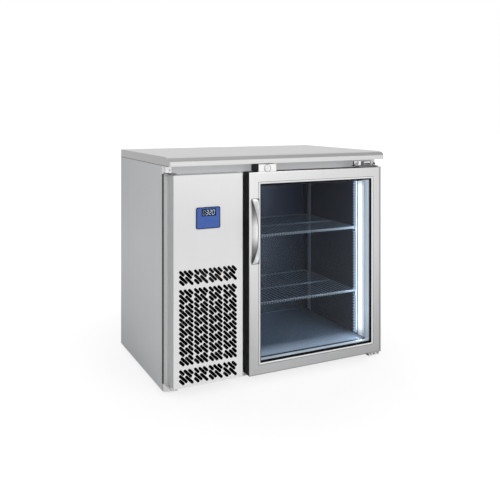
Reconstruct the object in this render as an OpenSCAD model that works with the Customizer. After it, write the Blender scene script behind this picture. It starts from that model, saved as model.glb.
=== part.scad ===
// Undercounter refrigerator: a glass door compartment with a machine compartment at its left.
// Every module is drawn with X to the right, Y to the back from the doors' front plane, Z up from
// the floor, and at_origin() then puts the origin under the middle of the overall box.

/* [Cabinet] */
// Width of the cabinet and worktop
body_w = 956; // [930:1:1060]
// Depth from the doors' front plane to the back
body_d = 550; // [540:1:600]
// Height to the top of the worktop
body_h = 850; // [850:1:900]
// Height of the levelling feet under the cabinet
foot_h = 10; // [9:1:14]
// Thickness of the worktop
top_t = 32; // [30:1:36]
// Bevel along the worktop's front edge
top_bevel = 12; // [8:1:14]
// Sheet metal thickness of the panels
sheet = 1.5; // [1.2:0.1:1.6]

/* [Doors] */
// Gap from the cabinet's side to the door's edge
inset = 18; // [16:1:20]
// Width of the machine compartment's door
machine_w = 275; // [270:1:280]
// Gap between the two doors
door_gap = 29; // [27:1:32]
// Thickness of the glass door
door_t = 48; // [48:1:49]
// Depth of the door gasket
gasket_t = 8; // [8:1:9]
// Width of the glass door's frame
frame_w = 50; // [48:1:52]
// How far the pull handle stands out
handle_h = 48; // [40:1:54]
// Length of the pull handle
handle_len = 242; // [220:1:250]

/* [Grille] */
// Grid unit of the diagonal slots across the door
slot_ux = 11.6; // [11:0.1:11.8]
// Grid unit of the diagonal slots down the door
slot_uz = 11.1; // [10.8:0.1:11.3]
// Width of a slot
slot_w = 9.2; // [8:0.1:10]

/* [Compartment] */
// Thickness of the insulated walls
wall_t = 52.5; // [50:0.5:54]
// Height of the lower shelf
shelf_1 = 256; // [240:1:280]
// Height of the upper shelf
shelf_2 = 522; // [500:1:540]
// Spacing of the shelf wires
wire_pitch = 18; // [16:1:26]
// Pitch of the pilaster teeth
tooth_pitch = 12; // [11:1:14]

/* [Running fits] */
// Radial clearance between a turning shaft and its hole
run_c = 0.05; // [0.03:0.01:0.09]

/* [Hidden] */
$fn = 48;

zb = foot_h;
zt = body_h - top_t;
front_y = door_t + gasket_t;
in_y = front_y + sheet;
back_y = body_d - sheet;
door_top = zt - 32;
// top of the fittings on the fascia above the doors
fas_z = door_top + 28;
m_x0 = inset;
m_x1 = inset + machine_w;
m_z0 = 36;
m_depth = front_y - 2;
g_x0 = m_x1 + door_gap;
g_x1 = body_w - inset;
g_z0 = 30;
// outer faces of the liner
l_x0 = g_x0 + 38;
l_x1 = g_x1 - 36.5;
l_y1 = back_y - 58.5;
l_z0 = g_z0 + 38.5;
l_z1 = door_top - 32.5;
// bulkhead skin's left face
bulk_x = l_x0 - wall_t - sheet;
// glass opening
o_x0 = g_x0 + frame_w + 1;
o_x1 = g_x1 - frame_w + 0.6;
o_z0 = g_z0 + frame_w - 3;
o_z1 = door_top - frame_w + 3;
bead_w = 10;
// duct wall beside the compartment
duct_x = l_x0 + 54;
pil_y = [100, 430];
// hinge pivots
g_px = g_x1 - 14;
g_py = 24;
m_px = m_x0 + 9;
m_py = 27;
pin_r = 5;
// lock
lock_x = g_x0 + 78;
lock_z = door_top + 14;
lock_y = 25;
// pull handle
h_x0 = g_x0 + 10;
h_x1 = g_x0 + 41;
h_zc = door_top - 220;
// controller
c_x0 = m_x0 + 87;
c_x1 = c_x0 + 95;
c_z1 = door_top - 117;
c_z0 = c_z1 - 77;
key_z = c_z0 + 20;
key_r = 6;
key_x = [c_x0 + 24, c_x0 + 47.5, c_x0 + 71];
// fans
ef_y = 300;
ef_z = l_z0 + 580;
cf_x = 153;
cf_z = 200;
foot_x = [62, body_w - 62];
foot_y = [112, body_d - 62];
foot_r = 5;
// drain and pipe passages
drain_y = 290;
drain_z = l_z0 + 234;
pass_y = 462;
pass_z = l_z0 + 470;

module at_origin() translate([-body_w / 2, -(body_d - handle_h) / 2, 0]) children();
module bx(x0, x1, y0, y1, z0, z1) translate([x0, y0, z0]) cube([x1 - x0, y1 - y0, z1 - z0]);
module rod_x(x0, x1, y, z, r) translate([x0, y, z]) rotate([0, 90, 0]) cylinder(h = x1 - x0, r = r);
module rod_y(x, y0, y1, z, r) translate([x, y1, z]) rotate([90, 0, 0]) cylinder(h = y1 - y0, r = r);
module rod_z(x, y, z0, z1, r) translate([x, y, z0]) cylinder(h = z1 - z0, r = r);
// a plate outline drawn in X and Z, with thickness from y0 back to y1
module plate_xz(y0, y1) translate([0, y1, 0]) rotate([90, 0, 0]) linear_extrude(height = y1 - y0) children();
// an outline drawn in Y and Z, with thickness from x0 right to x1
module plate_yz(x0, x1) translate([x0, 0, 0]) rotate([90, 0, 90]) linear_extrude(height = x1 - x0) children();
module ring_xz(x0, x1, z0, z1, y0, y1, ix0, ix1, iz0, iz1) difference() {
    bx(x0, x1, y0, y1, z0, z1);
    bx(ix0, ix1, y0 - 1, y1 + 1, iz0, iz1);
}

// ---- cabinet shell ----

module side_panel_left() color("silver") at_origin()
    bx(0, sheet, in_y + 3, back_y, zb, zt);

module side_panel_right() color("silver") at_origin()
    bx(body_w - sheet, body_w, in_y + 3, back_y, zb, zt);

module rear_panel() color("silver") at_origin() difference() {
    bx(0, body_w, back_y, body_d, zb, zt);
    for (i = [0:11])
        bx(60, bulk_x - 60, back_y - 1, body_d + 1, 120 + 18 * i, 126 + 18 * i);
    rod_y(40, back_y - 1, body_d + 1, 60, 6);
}

module base_pan() color("gray") at_origin() difference() {
    union() {
        bx(sheet, body_w - sheet, in_y, back_y, zb, zb + sheet);
        for (x = foot_x)
            for (y = foot_y)
                rod_z(x, y, zb, zb + 26, 9);
    }
    for (x = foot_x)
        for (y = foot_y)
            rod_z(x, y, zb - 1, zb + 27, foot_r + run_c);
    for (i = [0:7])
        bx(110, bulk_x - 30, 190 + 14 * i, 196 + 14 * i, zb - 1, zb + sheet + 1);
}

module front_frame() color("lightgray") at_origin() difference() {
    bx(0, body_w, front_y, in_y, zb, zt);
    bx(m_x0 + 14, m_x1 - 4, front_y - 1, in_y + 1, m_z0 + 4, door_top - 12);
    bx(l_x0 - 8, l_x1 + 8.5, front_y - 1, in_y + 1, l_z0 - 8.5, l_z1 + 8.5);
}

module bulkhead_skin() color("silver") at_origin() difference() {
    bx(bulk_x, bulk_x + sheet, in_y, back_y, zb + sheet, zt);
    rod_x(bulk_x - 1, bulk_x + sheet + 1, drain_y, drain_z, 6.5);
    rod_x(bulk_x - 1, bulk_x + sheet + 1, pass_y, pass_z, 12);
}

module insulation() color("khaki") at_origin() {
    difference() {
        bx(bulk_x + sheet, l_x0, in_y, back_y, zb + sheet, zt);
        rod_x(bulk_x, l_x0 + 1, drain_y, drain_z, 6.5);
        rod_x(bulk_x, l_x0 + 1, pass_y, pass_z, 12);
    }
    difference() {
        bx(l_x1, body_w - sheet, in_y, back_y, zb + sheet, zt);
        for (y = foot_y)
            rod_z(foot_x[1], y, zb, zb + 50, 9.5);
    }
    difference() {
        bx(l_x0, l_x1, in_y, back_y, zb + sheet, l_z0);
        for (y = foot_y)
            rod_z(foot_x[1], y, zb, zb + 50, 9.5);
    }
    bx(l_x0, l_x1, in_y, back_y, l_z1, zt);
    bx(l_x0, l_x1, l_y1, back_y, l_z0, l_z1);
}

module liner() color("dimgray") at_origin() {
    difference() {
        bx(l_x0, l_x0 + sheet, in_y, l_y1, l_z0, l_z1);
        rod_x(l_x0 - 1, l_x0 + sheet + 1, drain_y, drain_z, 6.5);
        rod_x(l_x0 - 1, l_x0 + sheet + 1, pass_y, pass_z, 12);
    }
    bx(l_x1 - sheet, l_x1, in_y, l_y1, l_z0, l_z1);
    bx(l_x0 + sheet, l_x1 - sheet, l_y1 - sheet, l_y1, l_z0, l_z1);
    bx(l_x0 + sheet, l_x1 - sheet, in_y, l_y1 - sheet, l_z0, l_z0 + sheet);
    bx(l_x0 + sheet, l_x1 - sheet, in_y, l_y1 - sheet, l_z1 - sheet, l_z1);
}

module breaker_strips() color("black") at_origin() ring_xz(
    l_x0 - 8, l_x1 + 8.5, l_z0 - 8.5, l_z1 + 8.5, front_y, in_y,
    l_x0 + sheet, l_x1 - sheet, l_z0 + sheet, l_z1 - sheet);

top_r = 8;
// the worktop's outer block, shrunk by o on every side but its underside
module top_block(o) intersection() {
    plate_yz(o, body_w - o) polygon([[o, zt], [o, body_h - 3.5 - top_bevel - 0.4 * o],
        [top_bevel + 2 + 0.6 * o, body_h - 3.5 - 0.9 * o], [34, body_h - o],
        [body_d - o, body_h - o], [body_d - o, zt]]);
    translate([0, 0, zt - 1]) linear_extrude(height = top_t + 2) union() {
        translate([o, top_r]) square([body_w - 2 * o, body_d]);
        translate([top_r, o]) square([body_w - 2 * top_r, body_d]);
        for (x = [top_r, body_w - top_r])
            translate([x, top_r]) circle(r = top_r - o);
    }
}

module worktop() color("silver") at_origin() difference() {
    top_block(0);
    intersection() {
        top_block(sheet);
        bx(-1, body_w + 1, -1, body_d + 1, zt + sheet, body_h + 1);
    }
    bx(40, body_w - 40, front_y + 30, body_d - 40, zt - 1, zt + 5);
}

module worktop_core() color("tan") at_origin() intersection() {
    top_block(sheet);
    bx(-1, body_w + 1, -1, body_d + 1, zt + sheet, body_h + 1);
}

// ---- compartment fittings ----

led_y0 = front_y + 0.8;
led_y1 = front_y + 32;
led_x = l_x1 - sheet;
module led_housing() color("lightgray") at_origin() difference() {
    bx(led_x - 6, led_x, led_y0, led_y1, l_z0 + 8, l_z1 - 8);
    bx(led_x - 7, led_x - 2, led_y0 + 1, led_y1 - 1, l_z0 + 10, l_z1 - 10);
}

module led_diffuser() color("white") at_origin()
    bx(led_x - 7, led_x - 4, led_y0 + 1, led_y1 - 1, l_z0 + 10, l_z1 - 10);

pil_n = floor((l_z1 - l_z0 - 20) / tooth_pitch);
pil_z0 = l_z0 + 10;
function tooth(i) = [[12, i * tooth_pitch], [21, i * tooth_pitch + 3], [21, i * tooth_pitch + 6],
    [12, i * tooth_pitch + 9]];
module pilaster(x0, y) plate_yz(x0, x0 + 4) translate([y, pil_z0])
    polygon(concat([[0, 0]], [for (i = [0:pil_n - 1]) each tooth(i)], [[12, pil_n * tooth_pitch],
        [0, pil_n * tooth_pitch]]));
module pilasters() color("gainsboro") at_origin() for (y = pil_y) {
    pilaster(led_x - 4, y);
    pilaster(duct_x + sheet, y);
}

clip_l = 16;
module clip(x_wall, dir, y, z) {
    bx(min(x_wall, x_wall + 10 * dir), max(x_wall, x_wall + 10 * dir), y, y + clip_l, z - 3, z);
    bx(min(x_wall, x_wall + 2.5 * dir), max(x_wall, x_wall + 2.5 * dir), y, y + clip_l, z - 14, z - 3);
}
module shelf_clips() color("gray") at_origin() for (z = [shelf_1, shelf_2])
    for (y = pil_y) {
        clip(led_x - 4, -1, y + 3, z);
        clip(duct_x + sheet + 4, 1, y + 3, z);
    }

sh_x0 = duct_x + sheet + 7;
sh_x1 = led_x - 7.2;
rail_r = 3;
wire_r = 1.7;
wire_n = floor((sh_x1 - sh_x0 - 14) / wire_pitch);
wire_x0 = (sh_x0 + sh_x1 - wire_n * wire_pitch) / 2;
module wire_shelf(z) {
    for (y = [103, 270, 455])
        rod_x(sh_x0, sh_x1, y, z + rail_r, rail_r);
    for (i = [0:wire_n])
        rod_y(wire_x0 + i * wire_pitch, 101, 457, z + 2 * rail_r + wire_r - 0.9, wire_r);
}
module upper_shelf() color("white") at_origin() wire_shelf(shelf_2);
module lower_shelf() color("white") at_origin() wire_shelf(shelf_1);

module evaporator_cover() color("gainsboro") at_origin() {
    difference() {
        bx(duct_x, duct_x + sheet, 96, l_y1 - sheet, l_z0 + sheet, l_z1 - sheet);
        rod_x(duct_x - 1, duct_x + sheet + 1, ef_y, ef_z, 58);
        for (i = [0:5])
            bx(duct_x - 1, duct_x + sheet + 1, 190, 400, l_z0 + 30 + 16 * i, l_z0 + 38 + 16 * i);
    }
    bx(l_x0 + sheet, duct_x, 96, 96 + sheet, l_z0 + sheet, l_z1 - sheet);
}

ev_x0 = l_x0 + 8;
ev_z0 = l_z0 + 262;
module evaporator_coil() color("silver") at_origin() {
    for (i = [0:13])
        bx(ev_x0, ev_x0 + 36, 150 + 20 * i, 151 + 20 * i, ev_z0, ev_z0 + 190);
    for (x = [ev_x0 + 10, ev_x0 + 26])
        for (k = [0:4])
            rod_y(x, 146, 416, ev_z0 + 20 + 38 * k, 4);
}

module evap_fan_motor() color("dimgray") at_origin() {
    rod_x(l_x0 + sheet + 4, l_x0 + sheet + 28, ef_y, ef_z, 20);
    rod_x(l_x0 + sheet + 28, l_x0 + sheet + 46, ef_y, ef_z, 2);
    bx(l_x0 + sheet, l_x0 + sheet + 4, ef_y - 50, ef_y + 50, ef_z - 8, ef_z + 8);
}

module blades(n, r0, r1, w, t, pitch)
    for (i = [0:n - 1])
        rotate([0, 0, 360 / n * i]) translate([(r0 + r1) / 2, 0, 0]) rotate([pitch, 0, 0])
            cube([r1 - r0, w, t], center = true);
module fan_wheel(r_hub, r_tip, h, bore, n, w) difference() {
    union() {
        cylinder(h = h, r = r_hub, center = true);
        blades(n, r_hub - 2, r_tip, w, 1.4, 24);
    }
    cylinder(h = h + 2, r = bore, center = true);
}
module evap_fan_blade() color("black") at_origin()
    translate([l_x0 + sheet + 38, ef_y, ef_z]) rotate([0, 90, 0])
        fan_wheel(12, 52, 12, 2 + run_c, 5, 24);

dt_z = drain_z;
module drip_tray() color("white") at_origin() {
    difference() {
        bx(l_x0 + 5, duct_x - 3, 140, 420, dt_z + 4, dt_z + 20);
        bx(l_x0 + 7, duct_x - 5, 142, 418, dt_z + 6, dt_z + 21);
        rod_z(l_x0 + 16, drain_y, dt_z, dt_z + 7, 3.5);
    }
    difference() {
        union() {
            rod_z(l_x0 + 16, drain_y, dt_z - 2, dt_z + 4.5, 5.5);
            rod_x(bulk_x - 40, l_x0 + 16, drain_y, dt_z, 5);
            rod_z(bulk_x - 40, drain_y, 72, dt_z - 2, 5);
            translate([bulk_x - 40, drain_y, dt_z]) sphere(r = 6.2);
            translate([l_x0 + 16, drain_y, dt_z - 1]) sphere(r = 6.2);
        }
        rod_z(l_x0 + 16, drain_y, dt_z, dt_z + 5, 3.5);
        rod_z(bulk_x - 40, drain_y, 71, 90, 3.5);
    }
}

module temp_probe() color("brown") at_origin() {
    rod_z(duct_x - 8, 150, l_z0 + 470, l_z0 + 506, 3);
    bx(duct_x - 8, duct_x, 147, 153, l_z0 + 484, l_z0 + 490);
}

// ---- machine compartment ----

comp_x = 200;
comp_y = 408;
module compressor_shell() color("black") at_origin() {
    translate([comp_x, comp_y, 0]) rotate_extrude() polygon([[0, 38], [52, 38], [62, 46], [66, 58],
        [66, 104], [69, 106], [69, 112], [66, 114], [66, 150], [58, 168], [38, 178], [0, 181]]);
    difference() {
        bx(comp_x - 84, comp_x + 84, comp_y - 60, comp_y + 60, 34, 38.5);
        for (x = [-72, 72])
            for (y = [-48, 48])
                rod_z(comp_x + x, comp_y + y, 33, 40, 6);
    }
    rod_y(comp_x - 30, comp_y - 74, comp_y - 50, 92, 5);
    rod_y(comp_x + 24, comp_y - 74, comp_y - 50, 92, 5);
}

module compressor_feet() color("dimgray") at_origin() for (x = [-72, 72])
    for (y = [-48, 48]) {
        rod_z(comp_x + x, comp_y + y, zb + sheet, 34, 11);
        rod_z(comp_x + x, comp_y + y, 38.5, 44, 10);
    }

module terminal_box() color("darkslategray") at_origin() difference() {
    bx(comp_x - 24, comp_x + 24, comp_y + 56, comp_y + 96, 74, 104);
    rod_z(comp_x, comp_y, 73, 105, 66);
}

cn_x0 = 34;
cn_x1 = bulk_x - 34;
cn_z0 = 60;
cn_z1 = 340;
module condenser_coil() color("silver") at_origin() {
    for (i = [0:19])
        bx(cn_x0 + 4 + i * (cn_x1 - cn_x0 - 9) / 19, cn_x0 + 5 + i * (cn_x1 - cn_x0 - 9) / 19,
            92, 132, cn_z0, cn_z1);
    for (y = [102, 122])
        for (k = [0:5])
            rod_x(cn_x0 - 6, cn_x1 + 6, y, cn_z0 + 25 + 46 * k, 4);
    for (x = [cn_x0 - 2, cn_x1])
        bx(x, x + 2, 90, 134, zb + sheet, cn_z1 + 6);
}

module fan_shroud() color("black") at_origin() difference() {
    union() {
        bx(cn_x0 + 2, cn_x1, 134, 136, cn_z0, cn_z1);
        rod_y(cf_x, 135, 170, cf_z, 96);
        bx(cn_x0 + 6, cf_x - 60, 134, 140, zb + sheet, cn_z0 + 10);
        bx(cf_x + 60, cn_x1 - 4, 134, 140, zb + sheet, cn_z0 + 10);
    }
    rod_y(cf_x, 133, 171, cf_z, 93);
}

module cond_fan_motor() color("dimgray") at_origin() {
    rod_y(cf_x, 178, 222, cf_z, 30);
    rod_y(cf_x, 150, 178, cf_z, 3);
    difference() {
        union() {
            bx(cf_x - 100, cf_x + 100, 172, 178.5, cf_z - 6, cf_z + 6);
            bx(cf_x - 6, cf_x + 6, 172, 178.5, cf_z - 100, cf_z + 100);
        }
        rod_y(cf_x, 171, 178, cf_z, 16);
    }
    for (a = [0, 180])
        translate([cf_x, 0, cf_z]) rotate([0, a, 0]) bx(96.5, 100, 136, 173, -6, 6);
}

module cond_fan_blade() color("gainsboro") at_origin()
    translate([cf_x, 157, cf_z]) rotate([90, 0, 0])
        fan_wheel(18, 86, 16, 3 + run_c, 5, 40);

module pipe_path(pts, r) {
    for (i = [0:len(pts) - 2]) {
        d = pts[i + 1] - pts[i];
        L = norm(d);
        translate(pts[i]) rotate([0, acos(d[2] / L), atan2(d[1], d[0])]) cylinder(h = L, r = r);
    }
    for (i = [1:len(pts) - 2])
        translate(pts[i]) sphere(r = r + 0.5);
}
pp_x = bulk_x - 16;
module refrigerant_pipes() color("peru") at_origin() {
    pipe_path([[comp_x - 30, comp_y - 74, 92], [comp_x - 30, 240, 92], [comp_x - 30, 240, 372],
        [cn_x0 + 8, 240, 372], [cn_x0 + 8, 122, 372], [cn_x0 + 8, 122, 347]], 3);
    pipe_path([[comp_x + 24, comp_y - 74, 92], [comp_x + 24, 312, 92], [comp_x + 24, 312, 230],
        [pp_x, 312, 230], [pp_x, pass_y, 230], [pp_x, pass_y, pass_z], [l_x0 + 6, pass_y, pass_z]], 3.5);
    pipe_path([[cn_x1 - 12, 122, 347], [cn_x1 - 12, 122, 400], [cn_x1 - 12, 250, 400],
        [cn_x1 - 12, 250, 440]], 3);
    rod_z(cn_x1 - 12, 250, 438, 540, 9);
    pipe_path([[cn_x1 - 12, 250, 538], [cn_x1 - 12, 250, 600], [cn_x1 - 12, pass_y + 8, 600]], 1.5);
}

module evaporation_pan() color("white") at_origin() difference() {
    bx(60, bulk_x - 6, 244, 330, zb + sheet, 60);
    bx(62, bulk_x - 8, 246, 328, zb + sheet + 2, 61);
}

module power_cord() color("black") at_origin() {
    for (k = [0:2])
        translate([66, 470, 18 + 8.6 * k]) rotate_extrude() translate([42, 0]) circle(r = 4);
    rod_y(40, back_y - 22, body_d - 2, 60, 5.8);
    rod_x(18, 52, 400, 26, 12);
    for (z = [20, 32])
        rod_x(52, 70, 400, z, 2.2);
}

// ---- lock ----

module lock_housing() color("black") at_origin() difference() {
    bx(lock_x - 38, lock_x + 38, 2, front_y, door_top + 1, fas_z + 1);
    bx(lock_x - 34, lock_x + 34, 16, front_y - 4, door_top, fas_z - 2);
    rod_y(lock_x, 1, 17, lock_z, 9 + run_c);
}

module lock_plate() color("silver") at_origin() difference() {
    bx(lock_x - 38, lock_x + 38, 0, 2, door_top + 1, fas_z + 1);
    rod_y(lock_x, -1, 3, lock_z, 9 + run_c);
}

module lock_cylinder() color("silver") at_origin() difference() {
    union() {
        rod_y(lock_x, -2, lock_y - 3, lock_z, 9);
        rod_y(lock_x, lock_y - 3.5, lock_y + 5, lock_z, 4);
    }
    bx(lock_x - 0.8, lock_x + 0.8, -3, 14, lock_z - 4, lock_z + 4);
}

module lock_cam() color("gray") at_origin() difference() {
    union() {
        rod_y(lock_x, lock_y - 3, lock_y + 1, lock_z, 8);
        bx(lock_x, lock_x + 27, lock_y - 3, lock_y + 1, lock_z - 5, lock_z + 5);
    }
    rod_y(lock_x, lock_y - 4, lock_y + 2, lock_z, 4);
}

// the slot in the glass door's top rail that the cam drops into
module strike_slot() bx(lock_x - 9, lock_x + 32, lock_y - 5, lock_y + 3, door_top - 17, door_top + 1);

// ---- hinges ----

module glass_hinge_top() color("silver") at_origin() {
    difference() {
        union() {
            bx(g_px - 86, g_px + 9, 10, front_y, door_top + 2, door_top + 6);
            rod_z(g_px, g_py, door_top + 2, door_top + 6, 13);
        }
        bx(g_px - 66, g_px - 20, 30, front_y - 8, door_top + 1, door_top + 7);
    }
    rod_z(g_px, g_py, door_top - 16, door_top + 2.5, pin_r);
    difference() {
        bx(g_px - 120, g_px - 66, 8, 18, door_top + 6, fas_z - 2);
        bx(g_px - 108, g_px - 92, 7, 14, door_top + 14, fas_z - 1);
    }
    rod_x(g_px - 66.5, g_px - 30, 18, fas_z - 9, 6);
    bx(g_px - 60, g_px - 34, 15, front_y, door_top + 5.5, fas_z - 9);
    rod_z(g_px, g_py, door_top + 5.5, door_top + 13, 4.5);
}

module glass_hinge_bottom() color("silver") at_origin() difference() {
    union() {
        bx(g_px - 40, g_px + 14, 8, front_y, 15.5, 18.5);
        bx(g_px - 40, g_px + 14, 8, 10, 15.5, 27);
        bx(g_px - 40, g_px + 14, front_y - 3, front_y, 10.5, 18.5);
        rod_z(g_px, g_py, 18, g_z0 - 0.5, 9);
        rod_z(g_px, g_py, 18, g_z0 + 16, pin_r);
    }
    for (x = [g_px - 31, g_px - 14, g_px + 4]) {
        bx(x - 2.6, x + 2.6, 7, 11, 20.6, 25);
        for (d = [-2.6, 2.6])
            rod_y(x + d, 7, 11, 22.8, 2.2);
    }
}

module machine_hinge_top() color("silver") at_origin() {
    bx(m_px - 12, m_px + 10, 17, front_y, door_top + 2, door_top + 6);
    rod_z(m_px, m_py, door_top - 16, door_top + 2.5, pin_r);
    rod_z(m_px, m_py, door_top + 2, door_top + 6, 10);
    difference() {
        bx(m_px - 24, m_px - 1, 38, 41, door_top + 5.5, fas_z + 2);
        rod_y(m_px - 8, 37, 42, door_top + 17, 3.5);
    }
    bx(m_px - 24, m_px - 21, 38, front_y, door_top + 2, fas_z + 2);
    bx(m_px - 24, m_px - 10, 38, front_y, door_top + 2, door_top + 6);
}

module machine_hinge_bottom() color("lightgray") at_origin() {
    bx(m_px - 24, m_px + 12, 12, front_y, 24, 28);
    bx(m_px - 24, m_px + 30, front_y - 3, front_y, 10.5, 24.5);
    rod_z(m_px, m_py, 27.5, m_z0 - 0.5, 9);
    rod_z(m_px, m_py, 27.5, m_z0 + 16, pin_r);
    plate_yz(m_px - 24, m_px - 21) polygon([[front_y, 10.5], [front_y, 35.5], [9, 35.5], [9, 33],
        [46, 12], [48, 10.5]]);
}

module screw_y(x, y, z, r) {
    rod_y(x, y - 2.2, y, z, r);
    rod_y(x, y - 0.2, y + 3.5, z, r * 0.5);
}
module bracket_screws() color("gray") at_origin() {
    for (x = [g_px - 112, g_px - 76])
        rod_y(x, 5.8, 8, door_top + 12, 3.5);
    for (x = [m_px + 9, m_px + 22])
        rod_y(x, front_y - 5.2, front_y - 3, 17.5, 3);
}

// ---- glass door ----

module g_holes(z0, z1) {
    rod_z(g_px, g_py, g_z0 - 1, g_z0 + 18, pin_r + run_c);
    rod_z(g_px, g_py, door_top - 18, door_top + 1, pin_r + run_c);
}

module glass_door_frame() color("silver") at_origin() difference() {
    bx(g_x0, g_x1, 0, 3, g_z0, door_top);
    bx(o_x0 - bead_w, o_x1 + bead_w, -1, 4, o_z0 - bead_w, o_z1 + bead_w);
}

module glass_door_liner() color("black") at_origin() difference() {
    bx(g_x0 + 0.5, g_x1 - 0.5, 3, door_t, g_z0, door_top);
    bx(o_x0 - bead_w, o_x1 + bead_w, 2, 32, o_z0 - bead_w, o_z1 + bead_w);
    bx(o_x0 - 2, o_x1 + 3.4, 30, door_t + 1, o_z0 - 2, o_z1 + 2);
    g_holes();
    strike_slot();
}

module glazing_bead() color("silver") at_origin() ring_xz(
    o_x0 - bead_w, o_x1 + bead_w, o_z0 - bead_w, o_z1 + bead_w, 1, 12, o_x0, o_x1, o_z0, o_z1);

module glass_panes() color([0.7, 0.85, 0.9, 0.35]) at_origin() for (y = [12, 28])
    bx(o_x0 - bead_w, o_x1 + bead_w, y, y + 4, o_z0 - bead_w, o_z1 + bead_w);

module glass_spacer() color("black") at_origin() ring_xz(
    o_x0 - bead_w, o_x1 + bead_w, o_z0 - bead_w, o_z1 + bead_w, 16, 28,
    o_x0 + 8, o_x1 - 8, o_z0 + 8, o_z1 - 8);

module door_gasket() color("dimgray") at_origin() ring_xz(
    g_x0 + 20, g_px - 5, g_z0 + 20, door_top - 18, door_t, front_y,
    g_x0 + 32, g_px - 17, g_z0 + 32, door_top - 30);

// height of the handle's lip above the door at distance s along it, s from -1 to 1
hn = 24;
function lip(s, h) = h * (sqrt(max(0, 2.06 - s * s)) - 1.03) / (sqrt(2.06) - 1.03);
// a wedge: full height at x0, down to nothing at x1
function wedge_pts(x0, x1, h, hl) = concat(
    [for (i = [0:hn]) [x0, 0, -hl + 2 * hl * i / hn]],
    [for (i = [0:hn]) [x1, 0, -hl + 2 * hl * i / hn]],
    [for (i = [0:hn]) [x0, -max(0.6, lip(-1 + 2 * i / hn, h)), -hl + 2 * hl * i / hn]],
    [for (i = [0:hn]) [x1, -0.6, -hl + 2 * hl * i / hn]]);
n1 = hn + 1;
wedge_faces = concat(
    [for (i = [0:hn - 1]) each [[i, i + 1, n1 + i + 1], [i, n1 + i + 1, n1 + i]]],
    [for (i = [0:hn - 1]) each [[2 * n1 + i, 3 * n1 + i, 3 * n1 + i + 1],
        [2 * n1 + i, 3 * n1 + i + 1, 2 * n1 + i + 1]]],
    [for (i = [0:hn - 1]) each [[i, 2 * n1 + i, 2 * n1 + i + 1], [i, 2 * n1 + i + 1, i + 1]]],
    [for (i = [0:hn - 1]) each [[n1 + i, n1 + i + 1, 3 * n1 + i + 1], [n1 + i, 3 * n1 + i + 1, 3 * n1 + i]]],
    [[0, n1, 3 * n1], [0, 3 * n1, 2 * n1]],
    [[hn, 2 * n1 + hn, 3 * n1 + hn], [hn, 3 * n1 + hn, n1 + hn]]);
module wedge(x0, x1, h, hl) polyhedron(points = wedge_pts(x0, x1, h, hl),
    faces = [for (f = wedge_faces) [for (j = [len(f) - 1:-1:0]) f[j]]]);
module door_handle() color("gainsboro") at_origin() translate([0, 0, h_zc]) difference() {
    wedge(h_x0, h_x1, handle_h, handle_len / 2);
    translate([0, -1, 0]) wedge(h_x0 - 3, h_x1 - 5, handle_h - 3, handle_len / 2 - 9);
}

// ---- machine compartment door ----

function is_long(k) = k == 1 || k == 4 || (k > 4 && k % 2 == 0);
small_tile = [[-2, 3, 4], [-1, 1.5, 3.5], [0, 0, 1], [0, 2, 4], [1, 0, 2], [2, 0, 1]];
tall_tile = concat([[-2, 3, 4], [-1, 1.5, 3.5]],
    [for (k = [0:13]) each (is_long(k) ? [[k, 0, 2], [k, 3, 4]] : [[k, 0, 1], [k, 2, 4]])],
    [[14, 0.5, 2.5], [15, 0, 1]]);
slot_pitch = norm([slot_ux, slot_uz]);
module slot_2d(k, a, b) translate([a * slot_ux, -(1.5 * k + a) * slot_uz])
    rotate(-atan2(slot_uz, slot_ux)) {
    translate([0, -slot_w / 2]) square([(b - a) * slot_pitch, slot_w]);
    circle(d = slot_w);
    translate([(b - a) * slot_pitch, 0]) circle(d = slot_w);
}
module tile(list) for (p = list)
    slot_2d(p[0], p[1], p[2]);
grille_x0 = (m_x0 + m_x1) / 2 - 9.5 * slot_ux - 1.5;
grille_z1 = door_top - 341;
module grille_2d() for (g = [0:3])
    translate([grille_x0 + 5 * g * slot_ux, grille_z1]) {
        tile(small_tile);
        translate([0, -6 * slot_uz]) tile(tall_tile);
        translate([0, -31.5 * slot_uz]) tile(small_tile);
    }

module m_holes() {
    rod_z(m_px, m_py, m_z0 - 1, m_z0 + 18, pin_r + run_c);
    rod_z(m_px, m_py, door_top - 18, door_top + 1, pin_r + run_c);
}

module machine_door_skin() color("whitesmoke") at_origin() difference() {
    union() {
        plate_xz(0, sheet) difference() {
            translate([m_x0, m_z0]) square([machine_w, door_top - m_z0]);
            grille_2d();
            translate([c_x0 + 5, c_z0 + 5]) square([c_x1 - c_x0 - 10, c_z1 - c_z0 - 10]);
        }
        ring_xz(m_x0, m_x1, m_z0, door_top, sheet, m_depth, m_x0 + sheet, m_x1 - sheet,
            m_z0 + sheet, door_top - sheet);
    }
    m_holes();
}

// a folded channel round the door, open to the middle, with a block at each pivot
module machine_door_frame() color("gray") at_origin() difference() {
    union() {
        difference() {
            bx(m_x0 + sheet, m_x1 - sheet, 12, m_depth - 2, m_z0 + sheet, door_top - sheet);
            bx(m_x0 + 24, m_x1 - 18, 11, m_depth, m_z0 + 20, door_top - 20);
            bx(m_x0 + 2 * sheet, m_x1 - 2 * sheet, 12 + sheet, m_depth - 2 - sheet,
                m_z0 + 2 * sheet, door_top - 2 * sheet);
        }
        for (z = [m_z0 + sheet, door_top - 20])
            bx(m_x0 + sheet, m_x0 + 24, 12, 42, z, z + 20 - sheet);
    }
    m_holes();
}

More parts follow.
